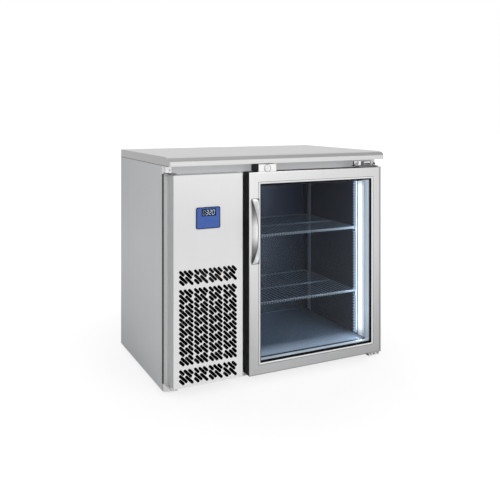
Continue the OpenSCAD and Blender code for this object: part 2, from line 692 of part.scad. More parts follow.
module rounded_2d(x0, x1, z0, z1, r) {
    translate([x0 + r, z0]) square([x1 - x0 - 2 * r, z1 - z0]);
    translate([x0, z0 + r]) square([x1 - x0, z1 - z0 - 2 * r]);
    for (x = [x0 + r, x1 - r])
        for (z = [z0 + r, z1 - r])
            translate([x, z]) circle(r = r);
}
dsp = [c_x0 + 20, c_x0 + 78, c_z1 - 32, c_z1 - 6];
module controller_bezel() color("royalblue") at_origin() difference() {
    union() {
        plate_xz(-3, 0) rounded_2d(c_x0, c_x1, c_z0, c_z1, 6);
        bx(c_x0 + 6, c_x1 - 6, -0.5, 34, c_z0 + 6, c_z1 - 6);
    }
    bx(dsp[0], dsp[1], -4, 10, dsp[2], dsp[3]);
    for (x = key_x)
        rod_y(x, -4, 6, key_z, key_r + 0.1);
}
module controller_display() color("black") at_origin()
    bx(dsp[0], dsp[1], -2.2, 10, dsp[2], dsp[3]);
module key(i) rod_y(key_x[i], -3.4, 4, key_z, key_r);
module key_set() color("royalblue") at_origin() key(0);
module key_down() color("royalblue") at_origin() key(1);
module key_up() color("royalblue") at_origin() key(2);

// ---- levelling feet ----

module foot(x, y) at_origin() {
    rod_z(x, y, 0, foot_h - 4, 18);
    rod_z(x, y, foot_h - 4.5, zb + 28, foot_r);
}
module foot_front_left() color("dimgray") foot(foot_x[0], foot_y[0]);
module foot_front_right() color("dimgray") foot(foot_x[1], foot_y[0]);
module foot_rear_left() color("dimgray") foot(foot_x[0], foot_y[1]);
module foot_rear_right() color("dimgray") foot(foot_x[1], foot_y[1]);

side_panel_left();
side_panel_right();
rear_panel();
base_pan();
front_frame();
bulkhead_skin();
insulation();
liner();
breaker_strips();
worktop();
worktop_core();
led_housing();
led_diffuser();
pilasters();
shelf_clips();
evaporator_coil();
evaporator_cover();
evap_fan_motor();
evap_fan_blade();
drip_tray();
temp_probe();
compressor_shell();
compressor_feet();
terminal_box();
condenser_coil();
fan_shroud();
cond_fan_motor();
cond_fan_blade();
refrigerant_pipes();
evaporation_pan();
power_cord();
lock_housing();
lock_plate();
lock_cylinder();
lock_cam();
glass_hinge_top();
glass_hinge_bottom();
machine_hinge_top();
machine_hinge_bottom();
bracket_screws();
glass_door_frame();
glass_door_liner();
glazing_bead();
glass_panes();
glass_spacer();
door_gasket();
door_handle();
machine_door_skin();
machine_door_frame();
controller_bezel();
controller_display();
key_set();
key_down();
key_up();
upper_shelf();
lower_shelf();
foot_front_left();
foot_front_right();
foot_rear_left();
foot_rear_right();
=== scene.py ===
import math
import bpy
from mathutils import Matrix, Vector


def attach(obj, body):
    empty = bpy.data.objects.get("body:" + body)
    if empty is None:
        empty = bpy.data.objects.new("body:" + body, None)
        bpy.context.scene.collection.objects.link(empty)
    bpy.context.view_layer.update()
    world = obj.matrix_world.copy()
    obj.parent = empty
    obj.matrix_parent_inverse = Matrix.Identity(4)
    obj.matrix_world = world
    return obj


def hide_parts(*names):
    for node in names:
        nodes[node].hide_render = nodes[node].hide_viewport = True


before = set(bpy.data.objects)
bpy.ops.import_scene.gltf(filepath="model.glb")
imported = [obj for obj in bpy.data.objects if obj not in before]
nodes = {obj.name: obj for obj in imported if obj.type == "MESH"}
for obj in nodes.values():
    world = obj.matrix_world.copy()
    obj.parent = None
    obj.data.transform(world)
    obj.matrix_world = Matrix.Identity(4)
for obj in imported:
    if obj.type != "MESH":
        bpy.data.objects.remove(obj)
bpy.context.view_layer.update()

# ---------------------------------------------------------------- sizes, mm
# X from the cabinet's left side, Y back from the doors' front plane, Z up from the floor
BODY_W, BODY_D = 956.0, 550.0
FRONT_Y = 56.0
TOP_Z = 818.0
DOOR_TOP = 786.0
ORIGIN_X, ORIGIN_Y = 478.0, 251.0
# pull handle: its sides, the height of its middle, half its length and how far it stands out
H_X0, H_X1 = 332.0, 363.0
H_ZC, H_HALF, H_OUT = 566.0, 121.0, 48.0


def at(x, y, z):
    return Vector(((x - ORIGIN_X) / 1000, (y - ORIGIN_Y) / 1000, z / 1000))


# ---------------------------------------------------------------- material kit
BLACK = (0.0, 0.0, 0.0)
GRAIN = {"x": (4, 700, 700), "z": (700, 700, 4)}


class Mat:
    """A principled material with helpers to wire procedural inputs."""

    def __init__(self, name):
        self.m = bpy.data.materials.new(name)
        self.m.use_nodes = True
        self.nt = self.m.node_tree
        self.bsdf = next(n for n in self.nt.nodes if n.type == "BSDF_PRINCIPLED")
        self.out = next(n for n in self.nt.nodes if n.type == "OUTPUT_MATERIAL")
        self.tc = self.nt.nodes.new("ShaderNodeTexCoord")
        self.places = None

    def link(self, a, b):
        self.nt.links.new(a, b)

    def set(self, key, value):
        self.bsdf.inputs[key].default_value = value

    def noise(self, scale, stretch=(1, 1, 1), detail=3.0, rough=0.55):
        mp = self.nt.nodes.new("ShaderNodeMapping")
        mp.inputs["Scale"].default_value = stretch
        self.link(self.tc.outputs["Object"], mp.inputs["Vector"])
        n = self.nt.nodes.new("ShaderNodeTexNoise")
        n.inputs["Scale"].default_value = scale
        n.inputs["Detail"].default_value = detail
        n.inputs["Roughness"].default_value = rough
        self.link(mp.outputs["Vector"], n.inputs["Vector"])
        return n.outputs["Fac"]

    def grain(self, axis):
        """The fine brushed lines of a sheet, along one axis."""
        return self.noise(1.0, GRAIN[axis], 4.0, 0.6)

    def ramp(self, fac, lo, hi, a=0.3, b=0.7):
        """lo below a, hi above b and a blend between them."""
        r = self.nt.nodes.new("ShaderNodeMapRange")
        r.inputs["From Min"].default_value = a
        r.inputs["From Max"].default_value = b
        r.inputs["To Min"].default_value = lo
        r.inputs["To Max"].default_value = hi
        self.link(fac, r.inputs["Value"])
        return r.outputs["Result"]

    def calc(self, operation, a, b=None):
        n = self.nt.nodes.new("ShaderNodeMath")
        n.operation = operation
        for value, socket in ((a, n.inputs[0]), (b, n.inputs[1])):
            if isinstance(value, float):
                socket.default_value = value
            elif value is not None:
                self.link(value, socket)
        return n.outputs["Value"]

    def all_of(self, *masks):
        """A mask that is 1 only where every one of the masks is."""
        product = masks[0]
        for mask in masks[1:]:
            product = self.calc("MULTIPLY", product, mask)
        return product

    def place(self, axis):
        """One coordinate of the shaded point, in metres in the shared frame."""
        if self.places is None:
            self.places = self.nt.nodes.new("ShaderNodeSeparateXYZ")
            self.link(self.tc.outputs["Object"], self.places.inputs["Vector"])
        return self.places.outputs[axis]

    def across(self, axis, lo, hi, a, b):
        """lo before a, hi after b and a blend between them, with a and b in mm along an axis."""
        zero = {"X": ORIGIN_X, "Y": ORIGIN_Y, "Z": 0.0}[axis]
        return self.ramp(self.place(axis), lo, hi, (a - zero) / 1000, (b - zero) / 1000)

    def off_height(self, z, lo, hi, a, b):
        """As across, by the distance above or below the height z."""
        off = self.calc("SUBTRACT", self.place("Z"), z / 1000)
        return self.ramp(self.calc("ABSOLUTE", off), lo, hi, a / 1000, b / 1000)

    def mix(self, fac, c1, c2):
        n = self.nt.nodes.new("ShaderNodeMix")
        n.data_type = "RGBA"
        for k, c in (("A", c1), ("B", c2)):
            sock = next(i for i in n.inputs if i.name == k and i.type == "RGBA")
            if isinstance(c, (tuple, list)):
                sock.default_value = (*c, 1)
            else:
                self.link(c, sock)
        self.link(fac, next(i for i in n.inputs if i.name == "Factor" and i.type == "VALUE"))
        return next(o for o in n.outputs if o.type == "RGBA")

    def fleck(self, color, fac, amount, grey=0.5):
        """Mix some grey into a colour, unevenly by a noise."""
        return self.mix(self.ramp(fac, 0.0, amount), color, (grey, grey, grey))

    def bump(self, fac, strength, distance):
        b = self.nt.nodes.new("ShaderNodeBump")
        b.inputs["Strength"].default_value = strength
        b.inputs["Distance"].default_value = distance
        self.link(fac, b.inputs["Height"])
        self.link(b.outputs["Normal"], self.bsdf.inputs["Normal"])

    def done(self, color, fac, rough, bump, metallic=0.0, spec=0.5, relief=None, glow=None,
             strength=1.0):
        """Wire the colour, the roughness range by fac, the bump by relief or fac, and any glow."""
        self.link(color, self.bsdf.inputs["Base Color"])
        self.link(self.ramp(fac, *rough), self.bsdf.inputs["Roughness"])
        self.bump(fac if relief is None else relief, *bump)
        self.set("Metallic", metallic)
        self.set("Specular IOR Level", spec)
        if glow is not None:
            self.link(glow, self.bsdf.inputs["Emission Color"])
            self.set("Emission Strength", strength)
        return self.m


def scaled(c, k):
    return tuple(min(1.0, x * k) for x in c)


def brushed(name, color, rough=0.3, grain="z", metallic=1.0, depth=0.05, vary=0.03):
    m = Mat(name)
    g = m.grain(grain)
    mot = m.noise(5.0, (1, 1, 1), 3.0)
    col = m.mix(m.ramp(g, 0.0, 1.0), scaled(color, 1 - vary), scaled(color, 1 + vary))
    col = m.mix(m.ramp(mot, 0.0, 0.5), col, scaled(color, 1 - 0.6 * vary))
    return m.done(col, g, (rough - 0.04, rough + 0.06), (depth, 0.0004), metallic)


def plastic(name, color, rough=0.45, grain=260.0, depth=0.06, vary=0.12, spec=0.5):
    m = Mat(name)
    f = m.noise(grain, (1, 1, 1), 4.0)
    mot = m.noise(7.0, (1, 1, 1), 4.0)
    col = m.mix(m.ramp(mot, 0.0, 1.0), scaled(color, 1 - vary), scaled(color, 1 + vary))
    return m.done(col, mot, (rough - 0.05, rough + 0.07), (depth, 0.0005), spec=spec, relief=f)


def worn_paint(name, color, rough=0.35):
    m = Mat(name)
    mot = m.noise(18.0, (1, 1, 1), 6.0, 0.7)
    scr = m.noise(30.0, (1, 6, 1), 5.0, 0.7)
    col = m.mix(m.ramp(mot, 0.0, 1.0), scaled(color, 0.85), scaled(color, 1.2))
    col = m.mix(m.ramp(scr, 0.0, 0.6, 0.68, 0.74), col, (0.3, 0.3, 0.3))
    return m.done(col, mot, (rough - 0.06, rough + 0.1), (0.06, 0.0006), relief=scr)


def door_sheet():
    """Brushed sheet: bright face with painted light, lighter towards the bottom and darker towards the top;
    folded edges painted greyer as shade; painted black shade in the thickness of the grille's slots.
    """
    m = Mat("door_sheet")
    g = m.grain("z")
    mot = m.noise(4.0, (1, 1, 0.4), 3.0)
    # painted light: the face is lighter towards the bottom and darker towards the top
    face = m.mix(m.across("Z", 0.0, 1.0, 50, 600), (0.99, 0.99, 0.99), (0.75, 0.75, 0.75))
    face = m.fleck(face, g, 0.14, 0.60)
    face = m.mix(m.ramp(mot, 0.0, 0.10), face, (0.60, 0.605, 0.61))
    # painted shade: black in the thickness of the grille's slots, greyer on the other folded edges
    grille = m.all_of(m.across("X", 0.0, 1.0, 30, 34), m.across("X", 1.0, 0.0, 276, 280),
                      m.across("Z", 1.0, 0.0, 500, 560))
    edge = m.mix(grille, (0.66, 0.67, 0.675), (0.004, 0.004, 0.004))
    behind = m.across("Y", 0.0, 1.0, 0.35, 0.6)
    return m.done(m.mix(behind, face, edge), g, (0.42, 0.52), (0.04, 0.0004), 0.6)


def door_frame_sheet():
    """Brushed frame with painted light and shade: lighter towards the top and darker towards the right, with
    the fold along the right and lower edges painted dark as shade.
    """
    m = Mat("stainless_door_frame")
    g = m.grain("z")
    mot = m.noise(5.0, (1, 1, 1), 3.0)
    # painted light and shade: lighter towards the top, darker towards the right
    col = m.mix(m.across("Z", 0.0, 1.0, 50, 450), (0.71, 0.71, 0.715), (0.86, 0.86, 0.86))
    col = m.mix(m.across("X", 0.0, 0.17, 360, 935), col, BLACK)
    col = m.fleck(col, g, 0.10)
    col = m.fleck(col, mot, 0.06)
    # painted shade: a dark line along the right and lower edges
    fold = m.calc("MAXIMUM", m.across("X", 0.0, 1.0, 929, 930), m.across("Z", 1.0, 0.0, 32.5, 34.5))
    # painted light: a glow keeps the strip beside the pull handle, in the handle's shade, as light as the
    # rest of the stile
    beside = m.all_of(m.across("X", 1.0, 0.0, H_X0 - 1, H_X0), m.across("Y", 1.0, 0.0, 0.2, 0.5),
                      m.off_height(H_ZC, 1.0, 0.0, 80, 122))
    return m.done(m.mix(fold, col, (0.38, 0.38, 0.38)), g, (0.27, 0.37), (0.05, 0.0004), 0.85,
                  glow=m.mix(beside, BLACK, (0.36, 0.36, 0.36)))


def lit_strip():
    """Slotted upright: the pair beside the lamp is painted lighter and glows with painted lamp light, with
    painted shade along its front edge; the rear ones do not glow.
    """
    m = Mat("pilaster_sheet")
    g = m.grain("z")
    # painted lamp light on the pair beside the lamp
    lit = m.all_of(m.across("Y", 1.0, 0.0, 122, 150), m.across("X", 0.0, 1.0, 800, 880))
    col = m.mix(m.ramp(g, 0.0, 1.0), (0.55, 0.66, 0.84), (0.62, 0.74, 0.92))
    # painted shade along the lit pair's front edge
    col = m.mix(m.across("Y", 0.45, 0.0, 96, 103), col, (0.10, 0.13, 0.17))
    return m.done(m.mix(lit, (0.34, 0.40, 0.50), col), g, (0.36, 0.46), (0.05, 0.0004), 0.25,
                  glow=m.mix(lit, BLACK, col), strength=0.42)


def split_by_height(name, low, high, z):
    """One metal, painted dark below a height as painted shade on its lower part and bright above it, with the
    same fine grain.
    """
    m = Mat(name)
    g = m.grain("x")
    col = m.fleck(m.mix(m.across("Z", 0.0, 1.0, z - 0.2, z + 0.2), low, high), g, 0.12)
    return m.done(col, g, (0.21, 0.31), (0.03, 0.0004), 0.7)


def recess_sheet():
    """The plate behind the pull handle: painted light in the middle as a glow, and painted shade towards both
    ends and towards its left side.
    """
    m = Mat("handle_recess")
    g = m.grain("z")
    # painted light: a glow in the middle; painted shade: darker to the left and towards both ends
    middle = m.all_of(m.off_height(H_ZC, 1.0, 0.0, 20, 65), m.across("X", 0.35, 1.0, 334, 350))
    col = m.mix(m.across("X", 1.0, 0.0, 333, 350), (0.96, 0.96, 0.95), (0.72, 0.72, 0.71))
    col = m.mix(m.off_height(H_ZC, 0.0, 1.0, 20, 100), col, (0.14, 0.14, 0.14))
    return m.done(m.fleck(col, g, 0.10), g, (0.4, 0.5), (0.03, 0.0004), 0.1,
                  glow=m.mix(middle, BLACK, (0.33, 0.33, 0.33)))


def side_sheet():
    """Brushed sides, painted a little darker towards the back as shade; the left one is painted dark on its
    inner face as the shade inside the machine compartment.
    """
    m = Mat("stainless_side_grain")
    g = m.grain("z")
    mot = m.noise(4.0, (1, 1, 1), 3.0)
    # painted shade: darker towards the back
    col = m.mix(m.across("Y", 0.0, 1.0, 60, 540), (0.91, 0.92, 0.935), (0.78, 0.79, 0.805))
    col = m.fleck(m.fleck(col, g, 0.10), mot, 0.08)
    # painted shade: the left panel's inner face beside the machine compartment
    inner = m.all_of(m.across("X", 0.0, 1.0, 0.8, 1.1), m.across("X", 1.0, 0.0, 378, 578))
    return m.done(m.mix(inner, col, (0.05, 0.05, 0.052)), g, (0.33, 0.43), (0.05, 0.0004), 1.0)


def top_sheet():
    """Brushed worktop, with painted shade making its front fold a shade greyer than the flat top."""
    m = Mat("stainless_worktop")
    g = m.grain("x")
    mot = m.noise(4.0, (1, 1, 1), 3.0)
    # painted shade: the front fold greyer than the top
    col = m.mix(m.across("Y", 0.0, 1.0, 0.3, 1.0), (0.74, 0.74, 0.735), (0.80, 0.80, 0.795))
    col = m.fleck(m.fleck(col, g, 0.08), mot, 0.06)
    return m.done(col, g, (0.26, 0.36), (0.05, 0.0004), 1.0)


def fascia_sheet():
    """Front frame: satin rails, evenly lit above the doors by a painted glow over the worktop's shade,
    painted darker down its outer left edge as shade, and painted dark as shade on the lower rail behind the
    grille."""
    m = Mat("stainless_fascia")
    g = m.grain("x")
    # painted light: a glow above the doors evens out the shade under the worktop
    high = m.across("Z", 0.0, 1.0, 784.5, 785.5)
    # painted shade down the outer left edge
    low = m.mix(m.across("X", 0.0, 1.0, 11, 16), (0.74, 0.74, 0.745), (0.92, 0.92, 0.925))
    col = m.fleck(m.mix(high, low, (0.36, 0.36, 0.365)), g, 0.12)
    # painted shade: the lower rail behind the grille is dark
    rail = m.all_of(m.across("Z", 0.0, 1.0, 16.8, 17.2), m.across("Z", 1.0, 0.0, 41.2, 41.6),
                    m.across("X", 0.0, 1.0, 33.8, 34.2), m.across("X", 1.0, 0.0, 284, 284.4))
    return m.done(m.mix(rail, col, (0.02, 0.02, 0.02)), g, (0.56, 0.66), (0.05, 0.0004), 0.15,
                  glow=m.mix(high, BLACK, (0.265, 0.27, 0.275)))


def rear_sheet():
    """Galvanised back, painted dark as shade on the face that looks into the machine compartment."""
    m = Mat("rear_sheet")
    g = m.grain("x")
    mot = m.noise(5.0, (1, 1, 1), 3.0)
    col = m.mix(m.ramp(g, 0.0, 1.0), (0.50, 0.51, 0.53), (0.60, 0.61, 0.63))
    col = m.mix(m.ramp(mot, 0.0, 0.4), col, (0.50, 0.51, 0.53))
    # painted shade on the face towards the machine compartment
    outer = m.across("Y", 0.0, 1.0, BODY_D - 0.9, BODY_D - 0.5)
    return m.done(m.mix(outer, (0.05, 0.05, 0.052), col), g, (0.41, 0.51), (0.05, 0.0004), 1.0)


tab_steel = brushed("stainless_vertical_grain", (0.80, 0.80, 0.795), 0.34, "z")
steel_side = side_sheet()
worktop_steel = top_sheet()
fascia_steel = fascia_sheet()
door_steel = door_sheet()
frame_steel = door_frame_sheet()
bead_steel = brushed("stainless_bead", (0.83, 0.83, 0.84), 0.34, "z", metallic=0.7)
handle_steel = brushed("stainless_handle", (0.86, 0.86, 0.86), 0.36, "z", metallic=0.6)
# painted shade: dark steel for the bead's groove ring and the handle's rolled lip, standing in for their
# shade
lip_shade_steel = brushed("handle_lip_shade", (0.16, 0.16, 0.16), 0.4, "z", metallic=0.5)
recess = recess_sheet()
door_side = plastic("door_side_profile", (0.006, 0.007, 0.008), 0.5, 300.0, 0.05, 0.2, spec=0.2)
lock_dark = plastic("lock_case", (0.035, 0.035, 0.036), 0.6, 260.0, 0.3, 0.5, spec=0.25)
bright_zinc = brushed("bright_zinc", (0.97, 0.97, 0.97), 0.35, "x", metallic=0.1, depth=0.02)
polished = brushed("polished_zinc", (0.92, 0.92, 0.93), 0.18, "x", metallic=0.6, depth=0.02)
plate_bright = brushed("lock_plate_satin", (0.85, 0.85, 0.85), 0.4, "x", metallic=0.3, depth=0.02)
polished_dark = brushed("dark_zinc", (0.13, 0.13, 0.14), 0.3, "x", depth=0.03)
# painted shade: the lower parts of the machine door's hinge bracket, the glass door's top hinge and its
# spring sleeve are painted dark
bracket_metal = split_by_height("hinge_bracket_zinc", (0.16, 0.16, 0.17), (0.95, 0.95, 0.95), 793)
# painted shade: a grey for the shade in the hinge block's notch
notch_shade_grey = brushed("hinge_notch_shade", (0.28, 0.28, 0.29), 0.4, "x", metallic=0.4, depth=0.02)
hinge_zinc = split_by_height("glass_hinge_zinc", (0.20, 0.20, 0.21), (0.92, 0.92, 0.93), 796.5)
sleeve_zinc = split_by_height("hinge_sleeve_zinc", (0.20, 0.20, 0.21), (0.72, 0.72, 0.73), 804.0)
foam = plastic("foam_edge", (0.62, 0.52, 0.28), 0.85, 420.0, 0.4, 0.15)
black = plastic("black_profile", (0.004, 0.004, 0.0045), 0.5, 300.0, 0.05, 0.2, spec=0.12)
# painted shade: dark strips for the shadow in the gaps at the cabinet's front corners and under the worktop's
# sides
gap_shade_dark = plastic("dark_gap_shade", (0.075, 0.076, 0.078), 0.6, 400.0, 0.2, spec=0.2)
rubber = plastic("rubber", (0.012, 0.012, 0.012), 0.75, 500.0, 0.15)
gasket_mat = plastic("gasket_vinyl", (0.05, 0.052, 0.055), 0.5, 350.0, 0.08)
pan_dark = brushed("compartment_sheet", (0.07, 0.07, 0.073), 0.5, "x", vary=0.15)
board = plastic("core_board", (0.35, 0.24, 0.13), 0.8, 120.0, 0.3, 0.25)
alu = brushed("lamp_channel", (0.75, 0.76, 0.78), 0.35, "z")
pilaster_mat = lit_strip()
motor_mat = worn_paint("motor_casing", (0.03, 0.03, 0.033), 0.4)
compressor_mat = worn_paint("compressor_paint", (0.008, 0.008, 0.009), 0.25)
coil_black = worn_paint("coil_paint", (0.006, 0.006, 0.0065), 0.6)
coil_alu = brushed("coil_fins", (0.5, 0.52, 0.55), 0.4, "z", vary=0.12)
white_pl = plastic("white_moulding", (0.75, 0.75, 0.72), 0.4, 200.0, 0.04)
grey_pl = plastic("grey_moulding", (0.35, 0.36, 0.37), 0.4, 200.0, 0.04)
copper = brushed("copper_pipe", (0.20, 0.09, 0.055), 0.35, "x", vary=0.15)
shelf_mat = brushed("shelf_coating", (0.22, 0.27, 0.34), 0.4, "x", metallic=0.2, vary=0.05)
# painted shade: a darker copy of the shelves' coating for the rails' under side in the wires' shade
rail_shade_mat = brushed("shelf_rail_coating_shade", (0.13, 0.16, 0.20), 0.45, "x", metallic=0.1, vary=0.05)
# painted highlight: a lighter copy of the shelves' coating for the turned-down wire ends
wire_end_highlight_mat = brushed("shelf_wire_ends", (0.40, 0.48, 0.58), 0.4, "z", metallic=0.1, vary=0.05)
foot_mat = plastic("foot_nylon", (0.02, 0.02, 0.02), 0.5)


def blue_plastic():
    m = Mat("controller_blue")
    f = m.noise(420.0, (1, 1, 1), 3.0)
    mot = m.noise(20.0, (1, 1, 2), 3.0)
    col = m.mix(m.ramp(mot, 0.0, 1.0), (0.048, 0.105, 0.36), (0.056, 0.125, 0.40))
    return m.done(col, mot, (0.38, 0.5), (0.05, 0.0003), spec=0.25, relief=f)


def emitter(name, color, strength):
    m = Mat(name)
    mot = m.noise(35.0, (1, 1, 0.4), 2.0)
    col = m.mix(m.ramp(mot, 0.0, 1.0), scaled(color, 0.94), color)
    return m.done(col, mot, (0.4, 0.4), (0.03, 0.0005), glow=col, strength=strength)


def lamp_lens():
    """Milky lens: full brightness along its length, fading towards both ends."""
    m = Mat("lamp_diffuser")
    mot = m.noise(35.0, (1, 1, 0.4), 2.0)
    lit = m.all_of(m.across("Z", 0.36, 1.0, 87, 116), m.across("Z", 1.0, 0.50, 702, 725))
    light = m.mix(m.ramp(mot, 0.0, 1.0), (0.89, 0.94, 0.96), (0.95, 0.99, 1.0))
    col = m.mix(m.ramp(mot, 0.0, 0.1), (0.62, 0.66, 0.70), (0.5, 0.5, 0.5))
    return m.done(col, mot, (0.4, 0.4), (0.03, 0.0005), glow=m.mix(lit, BLACK, light), strength=1.2)


def liner_mat():
    """Sheet walls going from blue-black at the top to grey below, with a bare steel floor."""
    m = Mat("liner_sheet")
    mot = m.noise(7.0, (1, 1, 0.3), 4.0)
    fine = m.noise(90.0, (1, 1, 0.05), 3.0)
    wall = m.mix(m.across("Z", 0.0, 1.0, 220, 600), (0.052, 0.066, 0.088), (0.012, 0.024, 0.068))
    wall = m.mix(m.ramp(mot, 0.0, 0.2), wall, (0.03, 0.045, 0.085))
    steel = m.mix(m.ramp(fine, 0.0, 1.0), (0.25, 0.335, 0.455), (0.30, 0.39, 0.52))
    is_wall = m.across("Z", 0.0, 1.0, 70.5, 72.5)
    m.link(m.ramp(is_wall, 0.7, 0.1, 0.0, 1.0), m.bsdf.inputs["Metallic"])
    # the lamp's light lies on the floor's front strip
    front = m.all_of(m.across("Y", 1.0, 0.0, 80, 155), m.ramp(is_wall, 1.0, 0.0, 0.0, 1.0))
    return m.done(m.mix(is_wall, steel, wall), mot, (0.34, 0.46), (0.01, 0.0003),
                  glow=m.mix(front, BLACK, (0.18, 0.22, 0.28)))


def lit_band(name, color, shade_color, glow, side=1.0, floor_z=0.0):
    """Band round the opening: it carries the lamp's light as a painted glow on the lamp's side and along the
    bottom, and is painted dark as shade elsewhere.
    """
    m = Mat(name)
    mot = m.noise(8.0, (1, 1, 0.25), 3.0)
    # painted lamp light near the lamp and along the bottom, painted shade elsewhere
    either = m.calc("MAXIMUM", m.across("X", 0.0, side, 840, 878), m.across("Z", 0.8, 0.0, 88, 110))
    near = m.all_of(either, m.across("Z", 0.0, 1.0, floor_z, floor_z + 3))
    lit = m.mix(m.ramp(mot, 0.0, 1.0), scaled(color, 0.85), scaled(color, 1.1))
    m.link(m.across("Z", 0.45 * glow, glow, 90, 200), m.bsdf.inputs["Emission Strength"])
    return m.done(m.mix(near, shade_color, lit), mot, (0.3, 0.42), (0.02, 0.0003), spec=0.2,
                  glow=m.mix(near, BLACK, lit))


def glass_mat():
    """Clear pane: see-through, with a weak mirror reflection that grows at grazing angles."""
    m = Mat("clear_glass")
    nt = m.nt
    tr = nt.nodes.new("ShaderNodeBsdfTransparent")
    smear = m.noise(6.0, (1, 1, 0.5), 4.0)
    m.link(m.mix(m.ramp(smear, 0.0, 1.0), (0.955, 0.965, 0.97), (0.975, 0.982, 0.985)),
           tr.inputs["Color"])
    gl = nt.nodes.new("ShaderNodeBsdfGlossy")
    m.link(m.ramp(smear, 0.02, 0.07), gl.inputs["Roughness"])
    lw = nt.nodes.new("ShaderNodeLayerWeight")
    lw.inputs["Blend"].default_value = 0.25
    fac = m.ramp(lw.outputs["Fresnel"], 0.004, 0.35, 0.03, 1.0)
    mx = nt.nodes.new("ShaderNodeMixShader")
    m.link(fac, mx.inputs["Fac"])
    m.link(tr.outputs["BSDF"], mx.inputs[1])
    m.link(gl.outputs["BSDF"], mx.inputs[2])
    m.link(mx.outputs["Shader"], m.out.inputs["Surface"])
    return m.m


blue = blue_plastic()
blue_dark = plastic("controller_rim_blue", (0.012, 0.026, 0.11), 0.5, 300.0, 0.04, spec=0.15)
key_blue = plastic("key_blue", (0.054, 0.118, 0.385), 0.45, 300.0, 0.03, spec=0.25)
display_mat = plastic("display_window", (0.006, 0.012, 0.045), 0.3, 80.0, 0.01, spec=0.2)
digit_mat = emitter("display_digits", (0.42, 0.50, 0.60), 0.58)
digit_dim = emitter("display_digit_dim", (0.16, 0.20, 0.26), 0.7)
led_mat = lamp_lens()
cheek_mat = lit_band("door_inner_cheek", (0.44, 0.52, 0.62), (0.02, 0.022, 0.028), 0.72, 1.0, 76)
spacer_mat = lit_band("spacer_aluminium", (0.50, 0.57, 0.66), (0.015, 0.016, 0.02), 0.95, 0.68)
liner = liner_mat()
glass = glass_mat()

# ---------------------------------------------------------------- CAD nodes: material and edge rounding
DRESS = {
    "side_panel_left": (steel_side, 0), "side_panel_right": (steel_side, 0),
    "rear_panel": (rear_sheet(), 0), "base_pan": (pan_dark, 0), "front_frame": (fascia_steel, 0),
    "bulkhead_skin": (pan_dark, 0), "insulation": (foam, 0), "liner": (liner, 0),
    "breaker_strips": (black, 0), "worktop": (worktop_steel, 1.2), "worktop_core": (board, 0),
    "led_housing": (alu, 0.5), "pilasters": (pilaster_mat, 0),
    "shelf_clips": (polished, 0.4), "evaporator_coil": (coil_alu, 0), "evaporator_cover": (liner, 0),
    "evap_fan_motor": (motor_mat, 0.8), "drip_tray": (white_pl, 0.6), "temp_probe": (copper, 0.5),
    "compressor_shell": (compressor_mat, 0.8), "compressor_feet": (rubber, 1.5),
    "terminal_box": (black, 2.0), "condenser_coil": (coil_black, 0), "fan_shroud": (black, 0.8),
    "cond_fan_motor": (motor_mat, 1.0), "refrigerant_pipes": (copper, 0),
    "evaporation_pan": (white_pl, 0.8), "power_cord": (rubber, 0.8), "lock_housing": (lock_dark, 0.8),
    "lock_plate": (plate_bright, 0.7), "lock_cylinder": (plate_bright, 0.4), "lock_cam": (polished_dark, 0.4),
    "glass_hinge_top": (hinge_zinc, 0.6), "glass_hinge_bottom": (polished, 0.4),
    "machine_hinge_top": (bracket_metal, 0.5), "machine_hinge_bottom": (bright_zinc, 0.4),
    "bracket_screws": (polished_dark, 0.3), "glass_door_liner": (door_side, 0.6),
    "glass_panes": (glass, 0), "machine_door_skin": (door_steel, 0),
    # painted shade: the machine door's frame is black so the grille's slots look as dark as the shade behind
    # them
    "machine_door_frame": (black, 0), "controller_bezel": (blue, 0.9),
    "controller_display": (display_mat, 0.3), "key_set": (key_blue, 0.35),
    "key_down": (key_blue, 0.35), "key_up": (key_blue, 0.35), "upper_shelf": (shelf_mat, 0),
    "lower_shelf": (shelf_mat, 0), "foot_front_left": (foot_mat, 0.8),
    "foot_front_right": (foot_mat, 0.8), "foot_rear_left": (foot_mat, 0.8),
    "foot_rear_right": (foot_mat, 0.8),
}


def round_edges(o, mm, segments=2):
    b = o.modifiers.new("edge_rounding", "BEVEL")
    b.width = mm / 1000
    b.segments = segments
    b.limit_method = "ANGLE"
    b.angle_limit = math.radians(40)
    b.harden_normals = False


def set_material(o, m):
    o.data.materials.clear()
    o.data.materials.append(m)


for name, (m, r) in DRESS.items():
    o = nodes[name]
    set_material(o, m)
    if r:
        round_edges(o, r)


# ---------------------------------------------------------------- mesh kit
def mesh(name, verts, faces, m, body, smooth=None, replaces=()):
    me = bpy.data.meshes.new(name)
    me.from_pydata([tuple(at(*v)) for v in verts], [], faces)
    me.validate()
    me.update()
    o = bpy.data.objects.new(name, me)
    bpy.context.scene.collection.objects.link(o)
    me.materials.append(m)
    if smooth is not None:
        for p in me.polygons:
            p.use_smooth = True
        me.set_sharp_from_angle(angle=math.radians(smooth))
    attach(o, body)
    if replaces:
        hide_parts(*replaces)
    return o


def frame_sweep(name, outer, inner, profile, m, body, **kw):
    """A mitred frame in the X-Z plane, from a closed profile of (t, y) points.

    t goes from 0 on the outer rectangle to 1 on the inner one.
    """
    corners = [(0, 2), (1, 2), (1, 3), (0, 3)]
    verts = []
    for t, y in profile:
        for cx, cz in corners:
            verts.append((outer[cx] + t * (inner[cx] - outer[cx]), y,
                          outer[cz] + t * (inner[cz] - outer[cz])))
    faces = []
    n = len(profile)
    for j in range(n):
        k = (j + 1) % n
        for c in range(4):
            d = (c + 1) % 4
            faces.append((j * 4 + c, j * 4 + d, k * 4 + d, k * 4 + c))
    return mesh(name, verts, faces, m, body, **kw)


